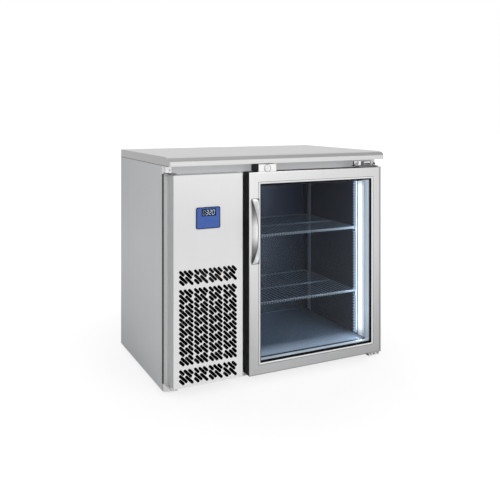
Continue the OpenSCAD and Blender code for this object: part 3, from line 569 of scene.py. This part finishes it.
def block(name, x0, x1, y0, y1, z0, z1, m, body, r):
    """A box with its edges rounded to r."""
    v = [(x, y, z) for x in (x0, x1) for y in (y0, y1) for z in (z0, z1)]
    f = [(0, 1, 3, 2), (4, 6, 7, 5), (0, 4, 5, 1), (2, 3, 7, 6), (0, 2, 6, 4), (1, 5, 7, 3)]
    o = mesh(name, v, f, m, body, smooth=35)
    round_edges(o, r, 3)


def lathe(name, centre, axis, profile, m, body, steps=48):
    """profile: (distance along the axis, radius) pairs, open where it ends off the axis."""
    verts, faces = [], []
    n = len(profile)
    for i in range(steps):
        a = 2 * math.pi * i / steps
        for h, r in profile:
            c, s = r * math.cos(a), r * math.sin(a)
            d = {"x": (h, c, s), "y": (c, h, s), "z": (c, s, h)}[axis]
            verts.append(tuple(centre[k] + d[k] for k in range(3)))
    for i in range(steps):
        j = (i + 1) % steps
        for k in range(n - 1):
            faces.append((i * n + k, j * n + k, j * n + k + 1, i * n + k + 1))
    return mesh(name, verts, faces, m, body, smooth=35)


def strip(name, path, y0, y1, thick, m, body):
    """A strap from y0 to y1, bent along a path of (x, z) points."""
    verts, faces = [], []
    left, right = [], []
    for i, p in enumerate(path):
        q0, q1 = path[max(0, i - 1)], path[min(len(path) - 1, i + 1)]
        d = Vector((q1[0] - q0[0], q1[1] - q0[1])).normalized()
        nrm = Vector((-d.y, d.x)) * thick / 2
        left.append((p[0] + nrm.x, p[1] + nrm.y))
        right.append((p[0] - nrm.x, p[1] - nrm.y))
    loop = left + right[::-1]
    for y in (y0, y1):
        for x, z in loop:
            verts.append((x, y, z))
    n = len(loop)
    for i in range(n):
        j = (i + 1) % n
        faces.append((i, j, n + j, n + i))
    k = len(path)
    for i in range(k - 1):
        faces.append((i, n - 1 - i, n - 2 - i, i + 1)[::-1])
        faces.append((n + i, n + n - 1 - i, n + n - 2 - i, n + i + 1))
    o = mesh(name, verts, faces, m, body, smooth=35)
    round_edges(o, 0.3, 2)


def pipe(name, pts, r, m, body):
    """A round bar of radius r through the points."""
    cu = bpy.data.curves.new(name, "CURVE")
    cu.dimensions = "3D"
    cu.bevel_depth = r / 1000
    cu.bevel_resolution = 4
    sp = cu.splines.new("POLY")
    sp.points.add(len(pts) - 1)
    for p, q in zip(sp.points, pts):
        p.co = (*at(*q), 1)
    cu.use_fill_caps = True
    o = bpy.data.objects.new(name, cu)
    bpy.context.scene.collection.objects.link(o)
    cu.materials.append(m)
    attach(o, body)


# ---------------------------------------------------------------- glass door
# G: the door's own edges, O: the opening that the glass shows through
G_X0, G_X1, G_Z0 = 322.0, 938.0, 30.0
O_X0, O_X1, O_Z0, O_Z1 = 373.0, 888.6, 77.0, 739.0
BEAD = 10.0
door_out = (G_X0, G_X1 + 0.8, G_Z0, DOOR_TOP)
bead_out = (O_X0 - BEAD - 1.5, O_X1 + BEAD + 0.8, O_Z0 - BEAD - 0.9, O_Z1 + BEAD - 0.4)
open_rect = (O_X0, O_X1, O_Z0 - 2.4, O_Z1)

frame_sweep("glass_door_face", door_out, bead_out,
            [(0.0, 3.0), (0.0, 1.2), (0.008, 0.55), (0.022, 0.15), (0.04, 0.02), (0.06, 0.0),
             (0.965, 0.0), (0.985, 0.15), (0.995, 0.5), (1.0, 1.0), (1.0, 3.0)],
            frame_steel, "glass_door", smooth=30, replaces=["glass_door_frame"])
# painted shade: a dark ring stands in for the shadow of the groove between the frame and the bead
frame_sweep("bead_groove", (bead_out[0] - 0.9, bead_out[1] + 0.9, bead_out[2] - 0.9, bead_out[3] + 0.9),
            (bead_out[0] + 0.7, bead_out[1] - 0.7, bead_out[2] + 0.7, bead_out[3] - 0.7),
            [(0.0, 0.4), (0.0, -0.04), (1.0, -0.04), (1.0, 2.0)], lip_shade_steel, "glass_door")
frame_sweep("glass_bead_moulding", bead_out, open_rect,
            [(0.0, 11.9), (0.0, 0.6), (0.05, 0.15), (0.30, 0.1), (0.55, 0.7), (0.70, 1.6),
             (0.72, 2.4), (0.72, 11.9)],
            bead_steel, "glass_door", smooth=35, replaces=["glazing_bead"])
frame_sweep("glazing_rubber", bead_out, open_rect,
            [(0.72, 11.97), (0.72, 2.6), (0.80, 2.0), (0.95, 2.3), (1.0, 3.0), (1.0, 11.97)],
            black, "glass_door", smooth=35)
frame_sweep("glass_edge_print", open_rect, (O_X0 + 4.0, O_X1 - 0.1, O_Z0 + 0.8, O_Z1 - 4.0),
            [(0.0, 11.98), (0.0, 11.6), (1.0, 11.6), (1.0, 11.98)], black, "glass_door")
frame_sweep("pane_spacer", (O_X0 - BEAD, O_X1 + BEAD, O_Z0 - BEAD, O_Z1 + BEAD),
            (O_X0 + 8, O_X1 - 8, O_Z0 + 3.2, O_Z1 - 8),
            [(0.0, 16.3), (0.1, 16.02), (0.94, 16.02), (1.0, 16.8), (1.0, 27.2), (0.94, 27.98),
             (0.1, 27.98), (0.0, 27.7)],
            spacer_mat, "glass_door", smooth=30, replaces=["glass_spacer"])
frame_sweep("inner_cheek", (O_X0 - 2.0, O_X1 + 3.4, O_Z0 - 2.0, O_Z1 + 2.0),
            (O_X0 - 1.2, O_X1 + 2.4, O_Z0 - 1.2, O_Z1 + 1.2),
            [(0.0, 32.1), (1.0, 32.1), (1.0, 47.0), (0.0, 47.6)],
            cheek_mat, "glass_door", smooth=30)
GK_OUT = (342.0, 919.0, 50.0, 768.0)
GK_IN = (354.0, 907.0, 62.0, 756.0)
frame_sweep("gasket_bellows", GK_OUT, GK_IN,
            [(0.05, 48.0), (0.25, 49.0), (0.05, 50.2), (0.02, 51.5), (0.22, 52.6), (0.04, 53.8),
             (0.0, 55.2), (0.08, 56.0), (0.92, 56.0), (1.0, 55.2), (0.96, 53.8), (0.78, 52.6),
             (0.98, 51.5), (0.95, 50.2), (0.75, 49.0), (0.95, 48.0)],
            gasket_mat, "glass_door", smooth=40, replaces=["door_gasket"])
frame_sweep("inner_door_cover", (328.0, 932.0, 36.0, 780.0), (371.6, 891.4, 75.6, 740.4),
            [(0.10, 48.02), (0.10, 48.6), (0.25, 49.2), (0.90, 49.2), (1.0, 48.2), (1.0, 47.0),
             (0.95, 47.0), (0.95, 48.02)],
            black, "glass_door", smooth=35)

# pull handle: a curved shell standing out from the door, open towards the left
def lip(s):
    """How far the handle's lip stands out, by s = -1 to 1 along its height: an arc, zero at the ends."""
    k = 2.06
    return H_OUT * max(0.0, math.sqrt(max(0.0, k - s * s)) - 1.0296) / (math.sqrt(k) - 1.0296)


def make_handle():
    """Outer and inner skins over a grid of ns rows by nu columns, joined round their edges."""
    nu, ns = 14, 60
    verts, faces = [], []
    for layer in (0, 1):
        for i in range(ns + 1):
            q = -1 + 2 * i / ns
            for j in range(nu + 1):
                u = j / nu
                h = lip(q * (1.0 if layer == 0 else 0.985)) * (1 - u) ** 0.92
                wall = 2.0 if layer else 0.0
                y = -max(0.45, h) if layer == 0 else -max(0.12, h - wall)
                x = H_X0 + u * (H_X1 - H_X0)
                verts.append((x, y, H_ZC + q * H_HALF * (1.0 if layer == 0 else 0.992)))
    w = nu + 1
    off = (ns + 1) * w
    for i in range(ns):
        for j in range(nu):
            a = i * w + j
            faces.append((a, a + w, a + w + 1, a + 1))
            faces.append((off + a, off + a + 1, off + a + w + 1, off + a + w))
    for i in range(ns):
        a = i * w
        faces.append((a, off + a, off + a + w, a + w))
        b = i * w + nu
        faces.append((b, b + w, off + b + w, off + b))
    for j in range(nu):
        faces.append((j, j + 1, off + j + 1, off + j))
        a = ns * w + j
        faces.append((a, off + a, off + a + 1, a + 1))
    mesh("pull_handle_shell", verts, faces, handle_steel, "glass_door", smooth=40,
         replaces=["door_handle"])
    # painted shade: the rolled lip is dark, standing in for its shade
    edge = [(H_X0 + 0.4, -max(0.6, lip(q) - 0.6), H_ZC + q * H_HALF)
            for q in [-1 + 2 * i / ns for i in range(ns + 1)]]
    pipe("pull_handle_rolled_lip", edge, 1.0, lip_shade_steel, "glass_door")


make_handle()
block("pull_handle_plate", H_X0 - 1, H_X1 + 1.5, -0.9, -0.02, H_ZC - H_HALF - 1.5,
      H_ZC + H_HALF + 1.5, recess, "glass_door", 0.3)

# ---------------------------------------------------------------- machine compartment door
# the controller's edges
C_X0, C_X1, C_Z0, C_Z1 = 105.0, 200.0, 592.0, 669.0


def rounded_ring(name, rect, r, w, y0, y1, m, body):
    """A raised rim of width w round a rectangle with corners of radius r."""
    pts = []
    for cx, cz, a0 in ((rect[1] - r, rect[3] - r, 0), (rect[0] + r, rect[3] - r, 90),
                       (rect[0] + r, rect[2] + r, 180), (rect[1] - r, rect[2] + r, 270)):
        for k in range(9):
            a = math.radians(a0 + 90 * k / 8)
            pts.append((cx, cz, math.cos(a), math.sin(a)))
    n = len(pts)
    verts = []
    for rad, y in ((r, y1), (r, y0 + 0.5), (r - 0.4, y0), (r - w + 0.3, y0), (r - w, y0 + 0.4),
                   (r - w, y1)):
        for cx, cz, c, s in pts:
            verts.append((cx + rad * c, y, cz + rad * s))
    faces = []
    for k in range(5):
        for i in range(n):
            j = (i + 1) % n
            faces.append((k * n + i, k * n + j, (k + 1) * n + j, (k + 1) * n + i))
    for i in range(n):
        j = (i + 1) % n
        faces.append((5 * n + i, 5 * n + j, j, i))
    return mesh(name, verts, faces, m, body, smooth=40)


rounded_ring("controller_rim", (C_X0 - 0.2, C_X1 + 0.2, C_Z0 - 0.2, C_Z1 + 0.2), 6.2, 3.0,
             -3.5, -0.02, blue_dark, "machine_door")
rounded_ring("display_rim", (124.6, 183.4, 636.6, 663.4), 2.2, 1.4, -3.2, -2.4, blue_dark,
             "machine_door")

SEGS = {"a": ((0.12, 1.0), (0.88, 1.0)), "b": ((1.0, 0.94), (1.0, 0.56)),
        "c": ((1.0, 0.44), (1.0, 0.06)), "d": ((0.12, 0.0), (0.88, 0.0)),
        "e": ((0.0, 0.44), (0.0, 0.06)), "f": ((0.0, 0.94), (0.0, 0.56)),
        "g": ((0.12, 0.5), (0.88, 0.5))}
SHAPES = {"0": "abcdef", "1": "bc", "2": "abged", "3": "abgcd", "4": "fgbc", "5": "afgcd",
          "6": "afgedc", "7": "abc", "8": "abcdefg", "9": "abcdfg"}


def digits(name, text, x0, w, step, m):
    """Leaning seven-segment digits on the display, from pointed bars of half width t."""
    verts, faces = [], []
    z0, h, y, t = 641.5, 16.5, -2.36, 0.95
    for i, ch in enumerate(text):
        for g in SHAPES[ch]:
            (ax, az), (bx, bz) = SEGS[g]
            a = Vector((ax * w, az * h))
            b = Vector((bx * w, bz * h))
            d = (b - a).normalized()
            nrm = Vector((-d.y, d.x))
            ring = [a, a + d * t + nrm * t, b - d * t + nrm * t, b, b - d * t - nrm * t,
                    a + d * t - nrm * t]
            k = len(verts)
            for yy in (y, y + 0.12):
                for p in ring:
                    verts.append((x0 + i * step + p.x + 0.20 * p.y, yy, z0 + p.y))
            faces.append(tuple(k + q for q in range(6)))
            faces.append(tuple(k + 6 + q for q in range(5, -1, -1)))
            for q in range(6):
                r = (q + 1) % 6
                faces.append((k + q, k + 6 + q, k + 6 + r, k + r))
    mesh(name, verts, faces, m, "machine_door", smooth=30)


digits("display_first_digit", "0", 130.0, 8.2, 0, digit_dim)
digits("display_digits", "320", 142.0, 8.4, 12.4, digit_mat)

# black rims of painted shade round the grille slots, in the CAD's woven order: each slot is (row, from, to),
# in slot steps
STEP_X, STEP_Z, SLOT_R = 11.6, 11.1, 4.6
MACHINE_DOOR_X0, MACHINE_DOOR_W = 18, 275
GRILLE_X = MACHINE_DOOR_X0 + MACHINE_DOOR_W / 2 - 9.5 * STEP_X - 1.5
GRILLE_Z = DOOR_TOP - 341
SMALL = [(-2, 3, 4), (-1, 1.5, 3.5), (0, 0, 1), (0, 2, 4), (1, 0, 2), (2, 0, 1)]
TALL = [(-2, 3, 4), (-1, 1.5, 3.5), (14, 0.5, 2.5), (15, 0, 1)]
for k in range(14):
    wide = k in (1, 4) or (k > 4 and k % 2 == 0)
    TALL += [(k, 0, 2), (k, 3, 4)] if wide else [(k, 0, 1), (k, 2, 4)]


def slot_shade_rims(rim, front):
    """One black ring of painted shade per slot, rim wide, from y = front to just behind the door's face."""
    verts, faces = [], []
    inner = SLOT_R - 0.12
    length = math.hypot(STEP_X, STEP_Z)
    tilt = -math.atan2(STEP_Z, STEP_X)
    ca, sa = math.cos(tilt), math.sin(tilt)
    for g in range(4):
        for drop, group in ((0, SMALL), (6, TALL), (31.5, SMALL)):
            for k, a, b in group:
                ox = GRILLE_X + 5 * g * STEP_X + a * STEP_X
                oz = GRILLE_Z - drop * STEP_Z - (1.5 * k + a) * STEP_Z
                base = len(verts)
                ring = [(0.0, 90 + 22.5 * q) for q in range(9)]
                ring += [((b - a) * length, -90 + 22.5 * q) for q in range(9)]
                for r, y in ((inner, front), (SLOT_R + rim, front), (SLOT_R + rim, 0.3), (inner, 0.3)):
                    for along, deg in ring:
                        u = along + r * math.cos(math.radians(deg))
                        w = r * math.sin(math.radians(deg))
                        verts.append((ox + u * ca - w * sa, y, oz + u * sa + w * ca))
                n = len(ring)
                for lv in range(4):
                    nx = (lv + 1) % 4
                    for q in range(n):
                        j = (q + 1) % n
                        faces.append((base + lv * n + q, base + lv * n + j, base + nx * n + j,
                                      base + nx * n + q))
    mesh("grille_slot_shade_rims", verts, faces, black, "machine_door", smooth=30)


slot_shade_rims(0.8, -0.03)

# ---------------------------------------------------------------- cabinet details
for side, x, d in (("left", 0.0, -1), ("right", BODY_W, 1)):
    # painted shade: dark strips stand in for the shadows in the corner gaps and under the worktop's edges
    o0, o1 = sorted((x + 0.25 * d, x - 1.4 * d))
    block("corner_gap_shade_side_" + side, o0, o1, FRONT_Y + 1.0, FRONT_Y + 9.5, 36, DOOR_TOP + 2,
          gap_shade_dark, "cabinet", 0.25)
    o0, o1 = sorted((x + 0.2 * d, x - 3.4 * d))
    block("corner_gap_shade_front_" + side, o0, o1, FRONT_Y - 0.35, FRONT_Y + 1.2, 36, DOOR_TOP + 2,
          gap_shade_dark, "cabinet", 0.25)
    o0, o1 = sorted((x + 0.3 * d, x - 3.2 * d))
    block("corner_cap_" + side, o0, o1, FRONT_Y - 0.4, FRONT_Y + 9.5, DOOR_TOP + 3, TOP_Z - 0.6,
          bright_zinc, "cabinet", 0.4)
    o0, o1 = sorted((x + 0.25 * d, x - 1.0 * d))
    block("worktop_gap_shade_" + side, o0, o1, 4, BODY_D - 1, TOP_Z - 0.9, TOP_Z + 0.9,
          gap_shade_dark, "cabinet", 0.25)

# a small bent tab at the bottom of the gap between the doors
block("gap_tab_plate", 299, 317, 36, 39, 26, 42, tab_steel, "cabinet", 0.5)
block("gap_tab_foot", 299, 317, 36, FRONT_Y, 24, 27, tab_steel, "cabinet", 0.5)

# lock face: a raised ring round the cylinder
LOCK = (400, 0, 800)
lathe("lock_escutcheon", LOCK, "y",
      [(-0.02, 9.4), (-0.8, 9.4), (-1.6, 10.4), (-1.6, 11.8), (-0.8, 12.9), (-0.02, 13.3)],
      plate_bright, "cabinet")
# painted shade: a thin dark ring stands in for the shade of the groove round the escutcheon
lathe("lock_ring_groove", LOCK, "y",
      [(-0.02, 13.3), (-0.35, 13.3), (-0.35, 14.6), (-0.02, 14.6)], polished_dark, "cabinet")

# top hinge of the glass door: its pivot, and the axis of the spring sleeve beside it
PIVOT_X, PIVOT_Y = 924.0, 24.0
SPRING_Y, SPRING_Z = 18.0, 805.0
block("hinge_block_end", 804.4, 809.8, 6.9, 8.4, DOOR_TOP + 6.4, DOOR_TOP + 26.2, black, "cabinet", 0.3)
# painted shade: a grey plate stands in for the shade in the hinge block's notch
block("hinge_block_recess", 820.5, 830.5, 7.5, 8.6, DOOR_TOP + 9.0, DOOR_TOP + 21.0, notch_shade_grey,
      "cabinet", 0.4)
block("hinge_block_side", 844.0, 858.4, 7.2, 8.1, DOOR_TOP + 6.6, DOOR_TOP + 25.6, polished_dark,
      "cabinet", 0.35)
lathe("hinge_spring_cap_left", (858.5, SPRING_Y, SPRING_Z), "x",
      [(0, 0), (0, 5.6), (0.8, 7.2), (3.2, 7.2), (4.0, 6.1)], polished_dark, "cabinet")
lathe("hinge_spring_sleeve", (866.0, SPRING_Y, SPRING_Z), "x",
      [(0, 6.02), (0.6, 7.4), (27.5, 7.4), (28.4, 6.02)], sleeve_zinc, "cabinet")
lathe("hinge_spring_cap_right", (894.4, SPRING_Y, SPRING_Z), "x",
      [(0, 6.1), (0.4, 7.0), (2.6, 7.0), (3.6, 5.4), (3.8, 0)], polished_dark, "cabinet")
lathe("hinge_pivot_cap", (PIVOT_X, PIVOT_Y, DOOR_TOP + 6), "z",
      [(0, 4.6), (0, 6.4), (2.4, 6.4), (3.2, 5.2), (9.5, 5.2), (11.0, 4.0), (11.4, 0)],
      polished_dark, "cabinet", steps=32)
block("hinge_shadow_plate", 862, 898, 12, 14.5, DOOR_TOP + 1.6, DOOR_TOP + 11.5, polished_dark,
      "cabinet", 0.5)
ARM = [(902 + 39 * t, DOOR_TOP + 1.9 + 9.0 * (1 - t) ** 1.5 + 2.2 * math.sin(math.pi * t))
       for t in [i / 16 for i in range(17)]]
strip("hinge_curved_arm", ARM, 2.0, 15.5, 2.0, polished, "cabinet")

# painted shade: a black backing shows through the slots of the lower bracket as their shade
block("hinge_slot_shade_backing", 886.5, 934, 10.3, 11.2, 18.8, 26.4, black, "cabinet", 0.3)

# the lamp's lens, wrapped round the channel's front edge
LENS = [(895.3, 86.8), (895.3, 57.3), (896.3, 56.3), (902.3, 56.3), (902.3, 56.75), (896.6, 56.75),
        (896.1, 57.3), (896.1, 86.8)]
LENS_Z0, LENS_Z1 = 78.6, 743.4
verts = [(x, y, z) for z in (LENS_Z0, LENS_Z1) for x, y in LENS]
n = len(LENS)
faces = [(i, (i + 1) % n, n + (i + 1) % n, n + i) for i in range(n)]
for i in range(n // 2 - 1):
    faces.append((i, n - 1 - i, n - 2 - i, i + 1))
    faces.append((n + i, n + i + 1, 2 * n - 2 - i, 2 * n - 1 - i))
mesh("lamp_lens", verts, faces, led_mat, "cabinet", smooth=30, replaces=["led_diffuser"])

# shelf wires turned down over the front rail, their ends painted lighter as highlights
WIRE_X0, WIRE_X1, WIRE_Y, WIRES = 424.6, 891.0, 100.2, 40
for shelf, z in (("lower", 256), ("upper", 522)):
    verts, faces = [], []
    n = 8
    for i in range(WIRES):
        cx = WIRE_X0 + (WIRE_X1 - WIRE_X0) * i / (WIRES - 1)
        base = len(verts)
        for z1, r in ((z - 3.4, 1.0), (z - 2.4, 2.3), (z + 7.0, 2.3), (z + 8.0, 1.0)):
            for k in range(n):
                a = 2 * math.pi * k / n
                verts.append((cx + r * math.cos(a), WIRE_Y + r * math.sin(a) * 0.9, z1))
        for lv in range(3):
            for k in range(n):
                j = (k + 1) % n
                faces.append((base + lv * n + k, base + lv * n + j, base + (lv + 1) * n + j,
                              base + (lv + 1) * n + k))
        faces.append(tuple(base + k for k in range(n - 1, -1, -1)))
        faces.append(tuple(base + 3 * n + k for k in range(n)))
    mesh(shelf + "_shelf_wire_ends", verts, faces, wire_end_highlight_mat, shelf + "_shelf", smooth=50)
    # the front rail's under side, in the shade of the wires
    pipe(shelf + "_shelf_rail_shade", [(422.0, 100.4, z + 2.9), (893.0, 100.4, z + 2.9)], 3.15,
         rail_shade_mat, shelf + "_shelf")

# ---------------------------------------------------------------- fans
def fan(name, centre, axis, r_hub, r_tip, depth, count, chord, m, body, replaces, r_bore):
    """A hub and curved blades, turned about the axis."""
    verts, faces = [], []

    def put(a, r, h):
        c, s = r * math.cos(a), r * math.sin(a)
        return tuple(centre[k] + {"x": (h, c, s), "y": (c, h, s)}[axis][k] for k in range(3))

    steps = 48
    prof = [(-depth / 2, r_bore), (-depth / 2, r_hub * 0.9), (-depth / 2 + 1, r_hub),
            (depth / 2 - 2, r_hub), (depth / 2, r_hub * 0.82), (depth / 2, r_bore)]
    for i in range(steps):
        for h, r in prof:
            verts.append(put(2 * math.pi * i / steps, r, h))
    n = len(prof)
    for i in range(steps):
        j = (i + 1) % steps
        for k in range(n):
            q = (k + 1) % n
            faces.append((i * n + k, j * n + k, j * n + q, i * n + q))
    nr, nc = 8, 8
    for b in range(count):
        for side in (-0.55, 0.55):
            for i in range(nr + 1):
                t = i / nr
                r = r_hub - 1.0 + (r_tip - r_hub + 1.0) * t
                width = chord * (0.62 + 0.5 * t - 0.22 * t * t)
                for j in range(nc + 1):
                    v = j / nc - 0.5
                    sweep = 0.20 * t
                    rounding = 1 - 0.35 * max(0, t - 0.75) * 4 * (2 * v) ** 2
                    a = 2 * math.pi * b / count + sweep + v * width * rounding / r
                    pitch = depth * 0.86 * (v * (1 - 0.25 * t)) + 1.6 * (0.25 - v * v)
                    verts.append(put(a, r, pitch + side))
        base = steps * n + b * 2 * (nr + 1) * (nc + 1)
        w = nc + 1
        off = (nr + 1) * w
        for i in range(nr):
            for j in range(nc):
                a = base + i * w + j
                faces.append((a, a + 1, a + w + 1, a + w))
                faces.append((off + a, off + a + w, off + a + w + 1, off + a + 1))
            for j in (0, nc):
                a = base + i * w + j
                faces.append((a, a + w, off + a + w, off + a))
        for j in range(nc):
            for i in (0, nr):
                a = base + i * w + j
                faces.append((a, off + a, off + a + 1, a + 1))
    mesh(name, verts, faces, m, body, smooth=40, replaces=replaces)


fan("evap_fan_wheel", (399.5, 300, 648.5), "x", 12, 51.5, 11.5, 5, 34, black, "evap_fan",
    ["evap_fan_blade"], 2.1)
fan("cond_fan_wheel", (153, 157, 200), "y", 18, 85.5, 16, 5, 62, grey_pl, "cond_fan",
    ["cond_fan_blade"], 3.1)

# ---------------------------------------------------------------- stage, light, camera
def floor_mat():
    """Pale floor: it keeps a faint contact shadow close by and fades to white further out."""
    m = Mat("studio_floor")
    mot = m.noise(1.2, (1, 1, 1), 2.0)
    col = m.mix(m.ramp(mot, 0.0, 1.0), (0.70, 0.70, 0.70), (0.73, 0.73, 0.73))
    m.link(col, m.bsdf.inputs["Base Color"])
    m.set("Roughness", 0.8)
    m.set("Specular IOR Level", 0.1)
    dist = m.nt.nodes.new("ShaderNodeVectorMath")
    dist.operation = "LENGTH"
    m.link(m.tc.outputs["Object"], dist.inputs[0])
    far = m.ramp(dist.outputs["Value"], 0.72, 1.0, 0.45, 1.5)
    em = m.nt.nodes.new("ShaderNodeEmission")
    em.inputs["Strength"].default_value = 1.12
    # towards the studio's edge the floor is lit more and more evenly
    even = m.nt.nodes.new("ShaderNodeEmission")
    m.link(m.across("X", 0.52, 0.92, -822, -22), even.inputs["Strength"])
    wide = m.nt.nodes.new("ShaderNodeMixShader")
    m.link(m.ramp(dist.outputs["Value"], 0.0, 0.92, 0.55, 2.8), wide.inputs["Fac"])
    m.link(m.bsdf.outputs["BSDF"], wide.inputs[1])
    m.link(even.outputs["Emission"], wide.inputs[2])
    lp = m.nt.nodes.new("ShaderNodeLightPath")
    mx = m.nt.nodes.new("ShaderNodeMixShader")
    m.link(m.all_of(far, lp.outputs["Is Camera Ray"]), mx.inputs["Fac"])
    m.link(wide.outputs["Shader"], mx.inputs[1])
    m.link(em.outputs["Emission"], mx.inputs[2])
    m.link(mx.outputs["Shader"], m.out.inputs["Surface"])
    return m.m


me = bpy.data.meshes.new("studio_floor")
S = 25.0
me.from_pydata([(-S, -S, 0), (S, -S, 0), (S, S, 0), (-S, S, 0)], [], [(0, 1, 2, 3)])
floor = bpy.data.objects.new("studio_floor", me)
bpy.context.scene.collection.objects.link(floor)
me.materials.append(floor_mat())

world = bpy.data.worlds.new("studio")
bpy.context.scene.world = world
world.use_nodes = True
nt = world.node_tree
nt.nodes.clear()


def wnode(kind, **vals):
    n = nt.nodes.new(kind)
    for k, v in vals.items():
        n.inputs[int(k[1:])].default_value = v
    return n


def wmath(op, a, b=None):
    n = nt.nodes.new("ShaderNodeMath")
    n.operation = op
    for i, v in enumerate((a, b)):
        if v is None:
            continue
        if isinstance(v, (int, float)):
            n.inputs[i].default_value = v
        else:
            nt.links.new(v, n.inputs[i])
    return n.outputs["Value"]


# the studio round the object, by compass angle: 0 in front, 90 to the right, -90 to the left
STUDIO = [(-180, 0.62), (-160, 0.52), (-120, 0.48), (-90, 0.50), (-40, 0.80), (0, 0.95),
          (28, 1.0), (45, 0.85), (62, 0.45), (80, 0.30), (115, 0.34), (135, 0.76), (160, 0.78),
          (180, 0.72)]
ZENITH = 0.48
tc = wnode("ShaderNodeTexCoord")
sep = wnode("ShaderNodeSeparateXYZ")
nt.links.new(tc.outputs["Generated"], sep.inputs[0])
turn = wmath("ARCTAN2", sep.outputs["X"], wmath("MULTIPLY", sep.outputs["Y"], -1.0))
turn = wmath("ADD", wmath("DIVIDE", turn, 2 * math.pi), 0.5)
ring = nt.nodes.new("ShaderNodeValToRGB")
ring.color_ramp.interpolation = "EASE"
els = ring.color_ramp.elements
els[0].position, els[1].position = 0.0, 1.0
els[0].color = els[1].color = (STUDIO[0][1],) * 3 + (1,)
for deg, v in STUDIO[1:-1]:
    e = els.new(deg / 360 + 0.5)
    e.color = (v, v, v, 1)
nt.links.new(turn, ring.inputs["Fac"])
rise = nt.nodes.new("ShaderNodeMapRange")
rise.interpolation_type = "SMOOTHSTEP"
rise.inputs["From Min"].default_value = 0.52
rise.inputs["From Max"].default_value = 0.95
nt.links.new(sep.outputs["Z"], rise.inputs["Value"])
mixf = nt.nodes.new("ShaderNodeMix")
mixf.data_type = "FLOAT"
nt.links.new(rise.outputs["Result"], mixf.inputs["Factor"])
nt.links.new(ring.outputs["Color"], mixf.inputs["A"])
mixf.inputs["B"].default_value = ZENITH
lp = wnode("ShaderNodeLightPath")
sky = wmath("ADD", wmath("MULTIPLY", mixf.outputs["Result"],
                         wmath("SUBTRACT", 1.0, lp.outputs["Is Camera Ray"])),
            lp.outputs["Is Camera Ray"])
bg = wnode("ShaderNodeBackground")
bg.inputs["Color"].default_value = (1, 1, 1, 1)
nt.links.new(sky, bg.inputs["Strength"])
wout = wnode("ShaderNodeOutputWorld")
nt.links.new(bg.outputs["Background"], wout.inputs["Surface"])


def area(name, loc, aim, sx, sy, watts, color=(1, 1, 1)):
    li = bpy.data.lights.new(name, "AREA")
    li.shape = "RECTANGLE"
    li.size, li.size_y = sx, sy
    li.energy = watts
    li.color = color
    li.spread = math.radians(180)
    o = bpy.data.objects.new(name, li)
    bpy.context.scene.collection.objects.link(o)
    o.location = loc
    o.rotation_mode = "QUATERNION"
    o.rotation_quaternion = (Vector(aim) - Vector(loc)).to_track_quat("-Z", "Y")
    return o


area("softbox_front", (1.4, -3.4, 2.6), (0, 0, 0.4), 2.4, 1.8, 60)
area("softbox_left", (-3.2, -1.6, 2.2), (0, 0, 0.4), 1.6, 1.6, 12)
LAMP_Z = (LENS_Z0 + LENS_Z1) / 2
lamp = area("cabinet_lamp", at(890.5, 72, LAMP_Z), at(600, 72, LAMP_Z), 0.64, 0.026, 0.95,
            (0.82, 0.91, 1.0))
lamp.visible_camera = False
lamp.rotation_mode = "XYZ"
lamp.rotation_euler = (0, math.radians(90), 0)
back = area("cabinet_lamp_back", at(896, 93, LAMP_Z), at(896, 300, LAMP_Z), 0.008, 0.64, 0.12,
            (0.80, 0.90, 1.0))
back.visible_camera = False
back.rotation_mode = "XYZ"
back.rotation_euler = (math.radians(90), 0, math.radians(8))

# camera: level, at the left of the front, looking past the machine compartment
CAM = at(-785.0, -1933.3, 1000.8)
TURN = math.radians(-22.93)
FOCAL = 43.03
SHIFT_X, SHIFT_Y = 0.1451, -0.2709
cd = bpy.data.cameras.new("camera")
cam = bpy.data.objects.new("camera", cd)
bpy.context.scene.collection.objects.link(cam)
cam.location = CAM
cam.rotation_euler = (math.radians(90), 0, TURN)
cd.lens = FOCAL
cd.sensor_width = 36
cd.clip_start, cd.clip_end = 0.05, 100
bpy.context.scene.camera = cam
# the lens shift belongs to this one place, so it goes back to zero when the camera is moved
for prop, value in (("shift_x", SHIFT_X), ("shift_y", SHIFT_Y)):
    setattr(cd, prop, value)
    dr = cd.driver_add(prop).driver
    dr.type = "SCRIPTED"
    for var, path in (("px", "location.x"), ("py", "location.y")):
        v = dr.variables.new()
        v.name = var
        v.targets[0].id = cam
        v.targets[0].data_path = path
    dr.expression = "%.4f * (abs(px - %.4f) + abs(py - %.4f) < 0.01)" % (value, CAM.x, CAM.y)

bpy.context.scene.view_settings.view_transform = "Standard"
